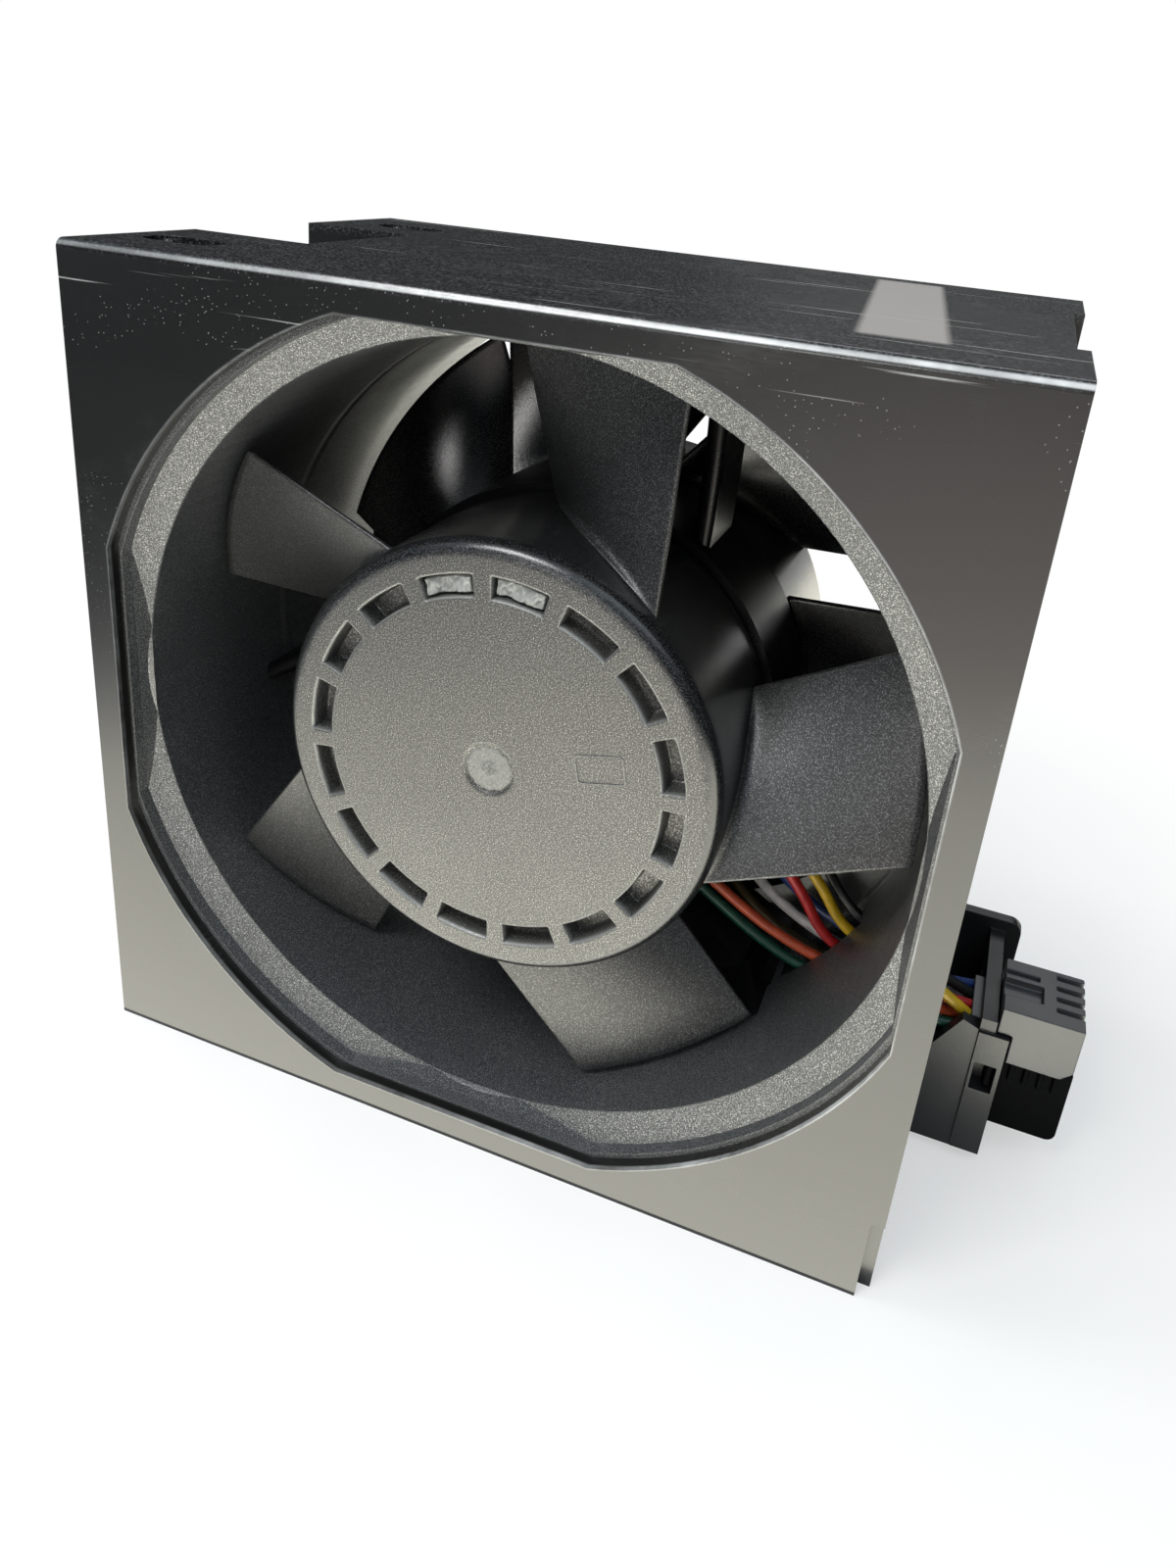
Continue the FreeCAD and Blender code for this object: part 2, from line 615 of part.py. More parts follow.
def blade_point(fan, radius, chord, side, turn):
    """Point on one skin: the mean line runs from leading to trailing edge and bows towards the inlet."""
    span = (radius - size("hub_radius")) / (size("tip_radius") - size("hub_radius"))
    lead_turn = between(fan, "lead", "turn", span)
    lead_depth = between(fan, "lead", "depth", span)
    sweep = between(fan, "trail", "turn", span) - lead_turn
    drop = between(fan, "trail", "depth", span) - lead_depth
    bow = size("blade_camber")
    angle = lead_turn + sweep * chord
    depth = lead_depth + drop * (chord - bow * chord * (1 - chord))
    arc_step = math.radians(sweep) * radius
    depth_step = drop * (1 - bow * (1 - 2 * chord))
    length = math.hypot(arc_step, depth_step)
    thick = size("blade_thick_hub") + (size("blade_thick_tip") - size("blade_thick_hub")) * span
    edge = size("blade_edge")
    half = side * (edge + (thick - edge) * 4 * chord * (1 - chord)) / 2
    angle += math.degrees(-half * depth_step / length / radius)
    depth += half * arc_step / length
    return at(radius, angle + turn, depth)


def between(fan, edge, kind, span):
    """Angle or depth of a blade's edge at a fraction of the span."""
    hub = size(f"{fan.name}_{edge}_hub_{kind}")
    tip = size(f"{fan.name}_{edge}_tip_{kind}")
    return hub + (tip - hub) * span


def yoke(fan):
    """Deep-drawn steel cup inside the hub, with a collar on the shaft."""
    face = "hub_front + hub_face"
    body = turned(fan.name + "_yoke_cup", [
        ("shaft_radius", face), ("hub_inner", face), ("hub_inner", "yoke_rear"),
        ("hub_inner - yoke_thick", "yoke_rear"), ("hub_inner - yoke_thick", face + " + yoke_thick"),
        ("4.2", face + " + yoke_thick"), ("4.2", face + " + collar_length"),
        ("shaft_radius", face + " + collar_length")])
    return fan.finish(body, "rotor_yoke")


def magnet(fan):
    """Ring magnet bonded inside the yoke."""
    outer = "hub_inner - yoke_thick"
    body = turned(fan.name + "_magnet", [
        (outer + " - magnet_thick", "magnet_front"), (outer, "magnet_front"),
        (outer, "magnet_rear"), (outer + " - magnet_thick", "magnet_rear")])
    return fan.finish(body, "ring_magnet")


def shaft(fan):
    """Hardened shaft with a groove for the retaining clip."""
    groove = "rear_bearing + bearing_width"
    body = turned(fan.name + "_shaft_bar", [
        ("0", "hub_front + hub_face"), ("shaft_radius", "hub_front + hub_face"), ("shaft_radius", groove),
        ("shaft_radius - 0.4", groove), ("shaft_radius - 0.4", groove + " + 0.5"),
        ("shaft_radius", groove + " + 0.5"), ("shaft_radius", "shaft_rear - 0.4"),
        ("shaft_radius - 0.4", "shaft_rear"), ("0", "shaft_rear")])
    return fan.finish(body, "shaft")


def clip(fan):
    """Split retaining clip in the shaft's groove."""
    start = "rear_bearing + bearing_width"
    disc = rod(fan.name + "_clip_disc", "3.4", start, start + " + 0.5")
    bore = rod(fan.name + "_clip_bore", "shaft_radius - 0.4", start + " - 1", start + " + 1")
    mouth = block(fan.name + "_clip_mouth", ("0", "5"), (start + " - 1", start + " + 1"), ("-1.1", "1.1"))
    return fan.finish(cut(fan.name + "_clip_ring", disc, bore, mouth), "retaining_clip")


# ---------------------------------------------------------------- bearings

SEATS = ("front_bearing", "rear_bearing")
BALLS = 7
PITCH_RADIUS = 3.75


def bearing_tube(fan):
    """Brass tube pressed into the motor base, with a land between the two bearing seats."""
    body = turned(fan.name + "_tube", [
        ("bore_radius", "tube_front"), ("tube_outer", "tube_front"), ("tube_outer", "fan_depth - socket_floor"),
        ("bore_radius", "fan_depth - socket_floor"), ("bore_radius", "rear_bearing"),
        ("tube_land", "rear_bearing"), ("tube_land", "front_bearing + bearing_width"),
        ("bore_radius", "front_bearing + bearing_width")])
    return fan.finish(body, "bearing_tube")


def bearings(fan):
    """Two deep-groove ball bearings: outer rings, inner rings and balls, a node each."""
    outers = [race(fan, seat, "outer", "race_outer", "bore_radius") for seat in SEATS]
    inners = [race(fan, seat, "inner", "shaft_radius", "race_inner") for seat in SEATS]
    balls = [shaped(f"{fan.name}_{seat}_balls", ball_ring(seat)) for seat in SEATS]
    fan.finish(group(fan.name + "_outer_rings", *outers), "bearing_outer_rings")
    fan.finish(group(fan.name + "_inner_rings", *inners), "bearing_inner_rings")
    fan.finish(group(fan.name + "_balls", *balls), "bearing_balls")


def race(fan, seat, side, inner, outer):
    """One ring with its groove for the balls."""
    name = f"{fan.name}_{seat}_{side}"
    outer_rod = rod(name + "_rod", outer, seat, seat + " + bearing_width")
    inner_rod = rod(name + "_hole", inner, seat + " - 1", seat + " + bearing_width + 1")
    groove = add("Part::Torus", name + "_groove")
    groove.Placement = Placement(Vector(), Rotation(Vector(1, 0, 0), -90))
    groove.Radius1 = PITCH_RADIUS
    bind(groove, "Radius2", "ball_radius + race_play")
    place(groove, "0", seat + " + bearing_width / 2", "0")
    return cut(name + "_ring", outer_rod, inner_rod, groove)


def ball_ring(seat):
    """Evenly spaced balls on the pitch circle."""
    middle = size(seat) + size("bearing_width") / 2
    return Part.makeCompound([Part.makeSphere(size("ball_radius"), at(PITCH_RADIUS, 360 / BALLS * index, middle))
                              for index in range(BALLS)])


def preload_spring(fan):
    """Conical washer between the yoke's collar and the front bearing's inner ring."""
    front = "hub_front + hub_face + collar_length"
    body = turned(fan.name + "_spring", [
        ("shaft_radius", front), ("shaft_radius + 0.6", front), ("race_inner", "front_bearing"),
        ("race_inner - 0.6", "front_bearing")])
    return fan.finish(body, "preload_spring")


# ---------------------------------------------------------------- stator

TEETH = 9


def slot_face(radius_in, radius_out):
    """Outline of one winding slot between two parallel-sided teeth, with its narrow mouth."""
    half_pitch = math.pi / TEETH
    tooth = size("tooth_width") / 2
    mouth = size("slot_mouth") / 2
    inner = half_pitch - math.asin(tooth / radius_in)
    outer = half_pitch - math.asin(tooth / radius_out)
    beyond = size("core_radius") + 1.0
    corners = [
        (radius_in * math.cos(inner), -radius_in * math.sin(inner)),
        (radius_out * math.cos(outer), -radius_out * math.sin(outer)),
        (radius_out, -mouth), (beyond, -mouth), (beyond, mouth), (radius_out, mouth),
        (radius_out * math.cos(outer), radius_out * math.sin(outer)),
        (radius_in * math.cos(inner), radius_in * math.sin(inner))]
    points = [Vector(x, 0, z) for x, z in corners]
    return Part.Face(Part.makePolygon(points + points[:1]))


def slots(name, start, length):
    """All winding slots, as one tool."""
    tool = slot_face(size("slot_inner"), size("slot_outer")).extrude(Vector(0, length, 0))
    tool.translate(Vector(0, start, 0))
    tools = []
    for index in range(TEETH):
        copy = tool.copy()
        copy.rotate(Vector(), Vector(0, -1, 0), 360 / TEETH * (index + 0.5))
        tools.append(copy)
    return shaped(name, Part.makeCompound(tools))


def lamination(name, outer, bore, start, end):
    """Ring with nine teeth."""
    disc = rod(name + "_disc", outer, start, end)
    hole = rod(name + "_bore", bore, f"{start} - 1", f"{end} + 1")
    length = size("core_length") + 10.0
    return cut(name, disc, hole, slots(name + "_slots", size("core_front") - 5.0, length))


def stator(fan):
    """Laminated core, moulded insulators on both ends and a coil on each tooth."""
    rear = "core_front + core_length"
    core = lamination(fan.name + "_core", "core_radius", "tube_outer", "core_front", rear)
    fan.finish(core, "stator_core")
    ends = [lamination(fan.name + "_front_liner", "core_radius - 0.5", "tube_outer",
                       "core_front - liner_thick", "core_front"),
            lamination(fan.name + "_rear_liner", "core_radius - 0.5", "boss_neck + 0.2", rear,
                       rear + " + liner_thick")]
    fan.finish(group(fan.name + "_liners", *ends), "stator_insulators")
    fan.finish(shaped(fan.name + "_windings", windings()), "stator_coils")


def windings():
    """Nine coils, each wound round its tooth like a picture frame."""
    inner = Vector(size("coil_inner"), 0, 0)
    reach = size("coil_outer") - size("coil_inner")
    window = size("tooth_width") / 2 + 0.2
    front = size("core_front") - size("liner_thick")
    length = size("core_length") + 2 * size("liner_thick")
    thick = size("coil_thick")
    outside = Part.makeBox(reach, length + 2 * thick, 2 * (window + thick),
                           inner + Vector(0, front - thick, -window - thick))
    outside = outside.makeFillet(thick * 0.8, [edge for edge in outside.Edges if along(edge, 0)])
    inside = Part.makeBox(reach + 2, length, 2 * window, inner + Vector(-1, front, -window))
    coil = outside.cut(inside)
    coils = []
    for index in range(TEETH):
        copy = coil.copy()
        copy.rotate(Vector(), Vector(0, -1, 0), 360 / TEETH * index)
        coils.append(copy)
    return Part.makeCompound(coils)


# ---------------------------------------------------------------- driver board

def driver_board(fan):
    """Round circuit board on the boss's shoulder."""
    end = "board_front + board_thick"
    disc = rod(fan.name + "_board_disc", "board_radius", "board_front", end)
    hole = rod(fan.name + "_board_hole", "board_bore", "board_front - 1", end + " + 1")
    return fan.finish(cut(fan.name + "_board_ring", disc, hole), "driver_board")


def board_components(fan):
    """Driver chip, power stages, capacitors and the rotor position sensor."""
    rear = "board_front + board_thick"
    parts = [block(fan.name + "_chip", ("12", "18"), (rear, rear + " + 1.4"), ("-4", "4")),
             block(fan.name + "_power_a", ("-21", "-16"), (rear, rear + " + 1.5"), ("3", "9")),
             block(fan.name + "_power_b", ("-21", "-16"), (rear, rear + " + 1.5"), ("-9", "-3")),
             block(fan.name + "_coil_choke", ("-4", "4"), (rear, rear + " + 1.6"), ("-24", "-17")),
             block(fan.name + "_ceramic_a", ("-3", "0"), (rear, rear + " + 1.2"), ("15", "17")),
             block(fan.name + "_ceramic_b", ("3", "6"), (rear, rear + " + 1.2"), ("15", "17")),
             block(fan.name + "_sensor", ("-1.5", "1.5"), ("board_front - 1.6", "board_front"), ("25", "28"))]
    return fan.finish(group(fan.name + "_components", *parts), "board_components")


def balance_putty():
    """Two of the front hub's pockets filled level with putty."""
    fills = []
    half = size("pocket_angle") / 2 - 0.3
    for pocket in (4, 3):
        middle = FIRST_POCKET + 360 / POCKETS * pocket
        fills.append(shaped(f"putty_{pocket}", sector(
            size("pocket_inner") + 0.1, size("pocket_outer") - 0.1, middle - half, middle + half,
            size("hub_front") + 0.5, size("hub_front") + size("pocket_depth"))))
    return finish(group("putty", *fills), "balance_putty", FRONT.seat)


# ---------------------------------------------------------------- fasteners between the fans

def joining_hardware():
    """Screw and nut through each corner of the two flanges that meet."""
    half = "bolt_spacing / 2"
    seam = "plate_wall + fan_depth"
    screws, nuts = [], []
    for index, (x, z) in enumerate((("-", "-"), ("", "-"), ("", ""), ("-", ""))):
        across, height = f"{x}{half}", f"{z}{half}"
        stem = rod(f"join_stem_{index}", "screw_radius", f"{seam} - flange_thick - 0.5",
                   f"{seam} + flange_thick + 3.4", across, height)
        head = rod(f"join_head_{index}", "head_radius", f"{seam} - flange_thick - head_height",
                   f"{seam} - flange_thick", across, height)
        slot = block(f"join_slot_{index}", (f"{across} - head_radius", f"{across} + head_radius"),
                     (f"{seam} - flange_thick - head_height - 1", f"{seam} - flange_thick - head_height + 1.0"),
                     (f"{height} - 0.5", f"{height} + 0.5"))
        screws.append(cut(f"join_screw_{index}", fuse(f"join_blank_{index}", stem, head), slot))
        nuts.append(hex_nut(index, f"{seam} + flange_thick", across, height))
    finish(group("join_screws", *screws), "joining_screws")
    finish(group("join_nuts", *nuts), "joining_nuts")


def hex_nut(index, start, across, height):
    """Hexagon nut on the far flange."""
    prism = add("Part::Prism", f"join_hexagon_{index}")
    prism.Polygon = 6
    prism.Placement = Placement(Vector(), Rotation(Vector(1, 0, 0), -90))
    bind(prism, "Circumradius", "nut_radius")
    bind(prism, "Height", "nut_height")
    place(prism, across, start, height)
    hole = rod(f"join_nut_bore_{index}", "screw_radius", start + " - 1", start + " + nut_height + 1", across, height)
    return cut(f"join_nut_{index}", prism, hole)


# ---------------------------------------------------------------- connector and its bracket

def plate_xz(name, corners, y):
    """Flat plate: an outline in X and Z given a thickness in Y."""
    body = add("PartDesign::Body", name)
    profile = outline(body, name + "_profile", "XZ_Plane", corners, f"-({y[1]})")
    pad = body.newObject("PartDesign::Pad", name + "_pad")
    pad.Profile = profile
    bind(pad, "Length", f"({y[1]}) - ({y[0]})")
    return body


def bracket():
    """Moulded bracket: front plate with a sloping corner and a window, bar, floor, rear ear and foot."""
    front, back, low = "bracket_front", "bracket_back", "bracket_bottom + 0.5"
    inner = "plate_side / 2 + 0.2"
    face = plate_xz("bracket_face", [
        (inner, low), ("bracket_reach", low), ("bracket_reach", "face_top"), ("wall_left", "face_top"),
        ("face_peak", "face_top + 1.0"), (inner, "face_top - 8.0")], (front, front + " + bracket_sheet"))
    lap = block("bracket_lap", ("wall_left", "bracket_reach"), (front + " - 0.6", front),
                (low, "face_top"))
    bar = block("bracket_bar", ("wall_left", "wall_right"), (front, back), (low, "bar_top"))
    floor = block("bracket_floor", (inner, "bracket_reach"), (front, back), ("bracket_bottom", "bracket_bottom + 2.2"))
    ear = rounded("bracket_ear", block("bracket_ear_blank", (inner, "bracket_reach + 0.4"),
                                       (back + " - bracket_sheet", back), (low, "ear_top")), 2.0, ear_corner)
    foot = block("bracket_foot", (inner, inner + " + bracket_sheet"), (back + " - 11", back + " + 4"),
                 (low, "-46"))
    window = block("bracket_window", ("window_left", "window_right"), (front + " - 1", front + " + 2.5"),
                   ("window_low", "window_high"))
    neck_hole = block("bracket_neck_hole", ("wall_left - 1", "wall_right + 1"), ("neck_front - 0.2", "neck_back + 0.2"),
                      ("neck_bottom - 0.2", "neck_top + 0.2"))
    lightening = block("bracket_opening", ("wall_left - 1", "wall_right + 1"), ("neck_back + 2.5", f"{back} - 4"),
                       ("-56", "-40"))
    clear = [cross_pin(f"bracket_clear_{index}", "1.3", (inner + " - 1", inner + " + bracket_sheet + 1"), depth, "-53")
             for index, depth in enumerate(SCREW_DEPTHS)]
    solid = fuse("bracket_solid", face, lap, bar, floor, ear, foot)
    return finish(cut("bracket_body", solid, window, neck_hole, lightening, *clear), "connector_bracket")



def ear_corner(edge):
    return along(edge, 1) and edge.CenterOfMass.z > size("ear_top") - 0.01


def bracket_screws():
    """Two small screws that hold the bracket's foot to the carrier."""
    seat = "plate_side / 2 + 0.2 + bracket_sheet"
    screws = []
    for index, depth in enumerate(SCREW_DEPTHS):
        stem = cross_pin(f"foot_stem_{index}", "1.0", ("plate_side / 2 - carrier_wall + 0.2", seat), depth, "-53")
        head = cross_pin(f"foot_head_{index}", "2.0", (seat, seat + " + 1.2"), depth, "-53")
        cross = block(f"foot_cross_{index}", (seat + " + 0.5", seat + " + 2"), (f"{depth} - 1.4", f"{depth} + 1.4"),
                      ("-53.3", "-52.7"))
        screws.append(cut(f"foot_screw_{index}", fuse(f"foot_blank_{index}", stem, head), cross))
    return finish(group("foot_screws", *screws), "bracket_screws")


COLUMNS = ("column_first", "column_first + column_pitch", "column_first + 2 * column_pitch",
           "column_first + 3 * column_pitch")
ROWS = ("row_upper", "row_lower")


def housing():
    """Eight-way plug housing: neck, block with a finger groove, slots over the contacts, cavities."""
    body = block("housing_block", ("wall_right + 0.2", "house_right"), ("house_front", "house_back"),
                 ("house_bottom", "house_top"))
    corner = block("housing_corner", ("wall_right - 1", "bracket_reach + 0.3"),
                   ("house_front - 1", "bracket_front + bracket_sheet + 0.2"), ("house_bottom - 1", "face_top + 0.3"))
    neck = block("housing_neck", ("neck_left", "wall_right + 1"), ("neck_front", "neck_back"),
                 ("neck_bottom", "neck_top"))
    groove = block("housing_groove", ("wall_right - 1", "groove_end"), ("groove_front", "groove_back"),
                   ("house_top - 1.1", "house_top + 1"))
    rail = block("housing_rail", ("wall_right - 1", "groove_end - 0.6"), ("groove_back + 1.0", "groove_back + 2.2"),
                 ("house_top - 0.9", "house_top + 1"))
    windows = [block(f"housing_slot_{index}", ("slot_left", "house_right + 1"),
                     (f"{column} - 0.55", f"{column} + 0.55"), ("house_top - 1.2", "house_top + 1"))
               for index, column in enumerate(COLUMNS)]
    cavities = [cavity(index, row, column) for index, (row, column) in enumerate(ways())]
    chamfer = shaped("housing_chamfer", lower_chamfer())
    whole = cut("housing_whole", fuse("housing_solid", body, neck), corner, groove, rail, chamfer,
                *windows, *cavities)
    return finish(whole, "connector_housing")


def ways():
    return [(row, column) for row in ROWS for column in COLUMNS]


def cavity(index, row, column):
    half = "contact_side / 2 + 0.1"
    return block(f"housing_cavity_{index}", ("neck_left - 1", "house_right + 1"),
                 (f"{column} - ({half})", f"{column} + {half}"), (f"{row} - ({half})", f"{row} + {half}"))


def lower_chamfer():
    """Wedge taken off the lower edge of the mating end."""
    right, low = size("house_right"), size("house_bottom")
    corners = [Vector(right + 1, 20, low - 1), Vector(right - 1.6, 20, low - 1),
               Vector(right - 1.6, 20, low), Vector(right, 20, low + 1.6), Vector(right + 1, 20, low + 1.6)]
    return Part.Face(Part.makePolygon(corners + corners[:1])).extrude(Vector(0, 40, 0))


def contacts():
    """Eight crimped box contacts, one behind each lead."""
    side = size("contact_side")
    start, end = size("neck_left"), size("house_right") - 1.8
    shape = Part.makeBox(end - start, side, side, Vector(start, -side / 2, -side / 2))
    mouth = Part.makeBox(7.0, side * 0.55, side * 0.55, Vector(end - 6.0, -side * 0.275, -side * 0.275))
    contact = shape.cut(mouth)
    pieces = []
    for row, column in ways():
        copy = contact.copy()
        copy.translate(Vector(0, value(column), value(row)))
        pieces.append(copy)
    return finish(shaped("contacts", Part.makeCompound(pieces)), "connector_contacts")


def value(formula):
    """Number that a column's or row's formula stands for."""
    if formula in ROWS:
        return size(formula)
    return size("column_first") + COLUMNS.index(formula) * size("column_pitch")


def guide():
    """Lower guide block with rounded corners, small ribs and the latch seen in the bracket's window."""
    left, right = "wall_right + 0.1", "house_right + 0.5"
    front, back = "bracket_front + bracket_sheet + 0.2", "house_back"
    blank = block("guide_blank", (left, right), (front, back), ("guide_bottom", "house_bottom - 0.3"))
    body = rounded("guide_body", blank, 1.5, guide_corner)
    latch = block("guide_latch", ("window_left + 1.9", "window_right - 0.3"), ("bracket_front + 0.2", front + " + 1"),
                  ("window_low + 0.5", "window_high - 0.4"))
    hollow = block("guide_hollow", ("wall_right + 2.5", right + " + 1"), (front + " + 2.2", back + " - 2.2"),
                   ("guide_bottom + 2.2", "house_bottom - 2.8"))
    ribs = [block(f"guide_rib_{index}", (f"{across}", f"{across} + 0.7"), (front + " - 0.5", front + " + 0.5"),
                  ("house_bottom - 4.3", "house_bottom - 0.3")) for index, across in enumerate(RIBS)]
    return finish(cut("guide_whole", fuse("guide_solid", body, latch, *ribs), hollow), "connector_guide")


RIBS = ("76.6", "78.7", "80.8", "82.9")


def guide_corner(edge):
    middle = edge.CenterOfMass
    return along(edge, 1) and middle.z < size("guide_bottom") + 0.01 and middle.x > size("house_right")


# ---------------------------------------------------------------- leads

LEADS = {
    # colour: board angle, board depth, (radius, angle, depth) on the way, slot angle and depth,
    # height where it leaves the carrier, contact column and row
    "green": (-53, 34.05, [(36, -50.8, 34.05), (48.8, -46.0, 34.3)], -43.0, 34.4, -41.6, 0, 1),
    "orange": (-48.6, 34.05, [(36, -46.8, 34.05), (48.0, -43.2, 34.3)], -39.6, 34.4, -39.2, 1, 1),
    "red": (-25, 34.05, [(36, -26.0, 34.05), (47.6, -31.0, 34.2)], -36.0, 34.6, -36.8, 1, 0),
    "yellow": (-20, 34.05, [(36, -21.2, 34.05), (48.9, -27.2, 34.2)], -31.8, 34.2, -34.2, 0, 0),
    "brown": (-52.6, 46.55, [(38, -50.6, 46.6), (47.5, -47.6, 41.4)], -41.6, 37.9, -41.6, 2, 1),
    "white": (-46.6, 46.55, [(38, -45.2, 46.6), (47.5, -42.6, 41.4)], -37.9, 38.3, -39.3, 3, 1),
    "blue": (-40, 46.55, [(38, -39.4, 46.6), (47.5, -37.6, 41.4)], -34.2, 38.4, -37.0, 3, 0),
    "black": (-27, 46.55, [(38, -27.2, 46.6), (48.6, -28.4, 41.4)], -30.4, 37.4, -34.4, 2, 0),
}
BOARD_RADIUS = 27.0
SLOT_RADIUS = 57.2
EXIT_X = 62.2


def lead_points(colour):
    """Corners of a lead's route, from its solder pad to its contact."""
    turn, depth, way, slot_turn, slot_depth, height, column, row = LEADS[colour]
    points = [at(BOARD_RADIUS, turn, depth)]
    points += [at(radius, angle, level) for radius, angle, level in way]
    points.append(at(SLOT_RADIUS, slot_turn, slot_depth))
    points.append(Vector(EXIT_X, slot_depth, height))
    points.append(Vector(size("neck_left"), value(COLUMNS[column]), value(ROWS[row])))
    return points


def lead(colour):
    """Insulated lead: straight runs joined by tangent arcs, swept with a round section."""
    points = lead_points(colour)
    edges, start, radii = [], points[0], []
    for before, corner, after in zip(points, points[1:], points[2:]):
        into, out = corner - before, after - corner
        half_turn = into.getAngle(out) / 2
        reach = 0.45 * min(into.Length, out.Length)
        into.normalize()
        out.normalize()
        near, far = corner - into * reach, corner + out * reach
        radius = reach / math.tan(half_turn)
        bow = (out - into).normalize()
        centre = corner + bow * (radius / math.cos(half_turn))
        middle = centre - bow * radius
        edges.append(Part.LineSegment(start, near).toShape())
        edges.append(Part.Arc(near, middle, far).toShape())
        radii.append(round(radius, 1))
        start = far
    beyond = points[-1] + (points[-1] - start).normalize() * 2.0
    edges.append(Part.LineSegment(start, beyond).toShape())
    path = Part.Wire(edges)
    direction = (points[1] - points[0]).normalize()
    section = Part.Wire(Part.makeCircle(size("lead_radius"), points[0], direction))
    solid = path.makePipeShell([section], True, True)
    past_neck = Part.makeBox(10, 60, 60, Vector(size("neck_left"), 0, -80))
    solid = solid.cut(past_neck)
    length = path.Length - 2.0
    area = math.pi * size("lead_radius") ** 2
    print(f"lead {colour}: length {length:.1f} radii {radii} volume ratio {solid.Volume / area / length:.4f}")
    return finish(shaped("lead_" + colour, solid), "lead_" + colour)


# ---------------------------------------------------------------- whole module

def build_fan(fan):
    fan_frame(fan)
    motor_support(fan)
    bearing_tube(fan)
    bearings(fan)
    shaft(fan)
    clip(fan)
    preload_spring(fan)
    stator(fan)
    driver_board(fan)
    board_components(fan)
    yoke(fan)
    magnet(fan)
    impeller(fan)


def check():
    """Stop on any object that failed or any shape that is not a sound solid."""
    DOC.recompute()
    for item in DOC.Objects:
        if "Invalid" in item.State or "Error" in item.State:
            raise RuntimeError(f"{item.Name} did not build: {item.State}")
    for item in NODES:
        if item.Shape.isNull() or not item.Shape.isValid():
            raise RuntimeError(f"{item.Label} has no sound shape")


def export():
    os.makedirs("parts", exist_ok=True)
    for item in NODES:
        item.Shape.exportStep(f"parts/{item.Label}.step")


carrier()
build_fan(FRONT)
build_fan(REAR)
balance_putty()
joining_hardware()
bracket()
bracket_screws()
housing()
contacts()
guide()
for colour in LEADS:
    lead(colour)
check()
export()
print(f"{len(NODES)} nodes")
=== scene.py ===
"""Looks of the server fan module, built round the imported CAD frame, in metres.

The rotor axis runs along Y at the height AXIS_Z, air moves towards +Y and the module stands on z = 0.
Angles are measured round Y, from +X towards +Z.  Sizes inside a fan are millimetres in the fan's own frame.
"""
import json
import math

import bmesh
import bpy
import numpy as np
from mathutils import Matrix, Vector

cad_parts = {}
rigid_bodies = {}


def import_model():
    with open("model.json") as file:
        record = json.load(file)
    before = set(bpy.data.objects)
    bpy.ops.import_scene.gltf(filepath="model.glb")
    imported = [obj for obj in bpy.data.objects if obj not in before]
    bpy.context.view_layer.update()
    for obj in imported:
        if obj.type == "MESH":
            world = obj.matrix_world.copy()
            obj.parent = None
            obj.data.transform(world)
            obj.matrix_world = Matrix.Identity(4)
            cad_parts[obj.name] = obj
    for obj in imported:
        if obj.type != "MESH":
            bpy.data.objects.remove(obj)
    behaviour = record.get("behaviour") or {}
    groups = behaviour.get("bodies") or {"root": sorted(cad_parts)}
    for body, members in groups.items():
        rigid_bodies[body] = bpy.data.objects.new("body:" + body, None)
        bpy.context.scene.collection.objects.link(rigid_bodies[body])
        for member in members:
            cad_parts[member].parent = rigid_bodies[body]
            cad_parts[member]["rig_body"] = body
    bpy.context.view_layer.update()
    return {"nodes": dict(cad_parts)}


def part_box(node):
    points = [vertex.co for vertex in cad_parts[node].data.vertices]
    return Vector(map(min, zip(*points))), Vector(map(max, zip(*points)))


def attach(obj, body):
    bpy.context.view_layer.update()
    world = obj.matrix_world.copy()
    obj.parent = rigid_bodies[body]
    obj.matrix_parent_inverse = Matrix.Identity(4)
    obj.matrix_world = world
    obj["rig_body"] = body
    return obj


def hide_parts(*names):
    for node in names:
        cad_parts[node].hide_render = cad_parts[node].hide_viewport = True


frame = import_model()
NODES = frame["nodes"]
AXIS_Z = sum(corner[2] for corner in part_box("carrier")) / 2
JOINT_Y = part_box("front_fan_frame")[1][1]
MM = 0.001

# Metres: the front plate's opening, and the frames' barrel and mouth; a mouth's depth is from their joint.
OPENING_ROUND = 0.0624
OPENING_FLAT = 0.0586
BARREL_EDGE = (0.0573, 0.0577)
MOUTH_DEPTH = (0.034, 0.036)
MOUTH_FLAT = (0.05725, 0.0583)


# ---------------------------------------------------------------- shader tools

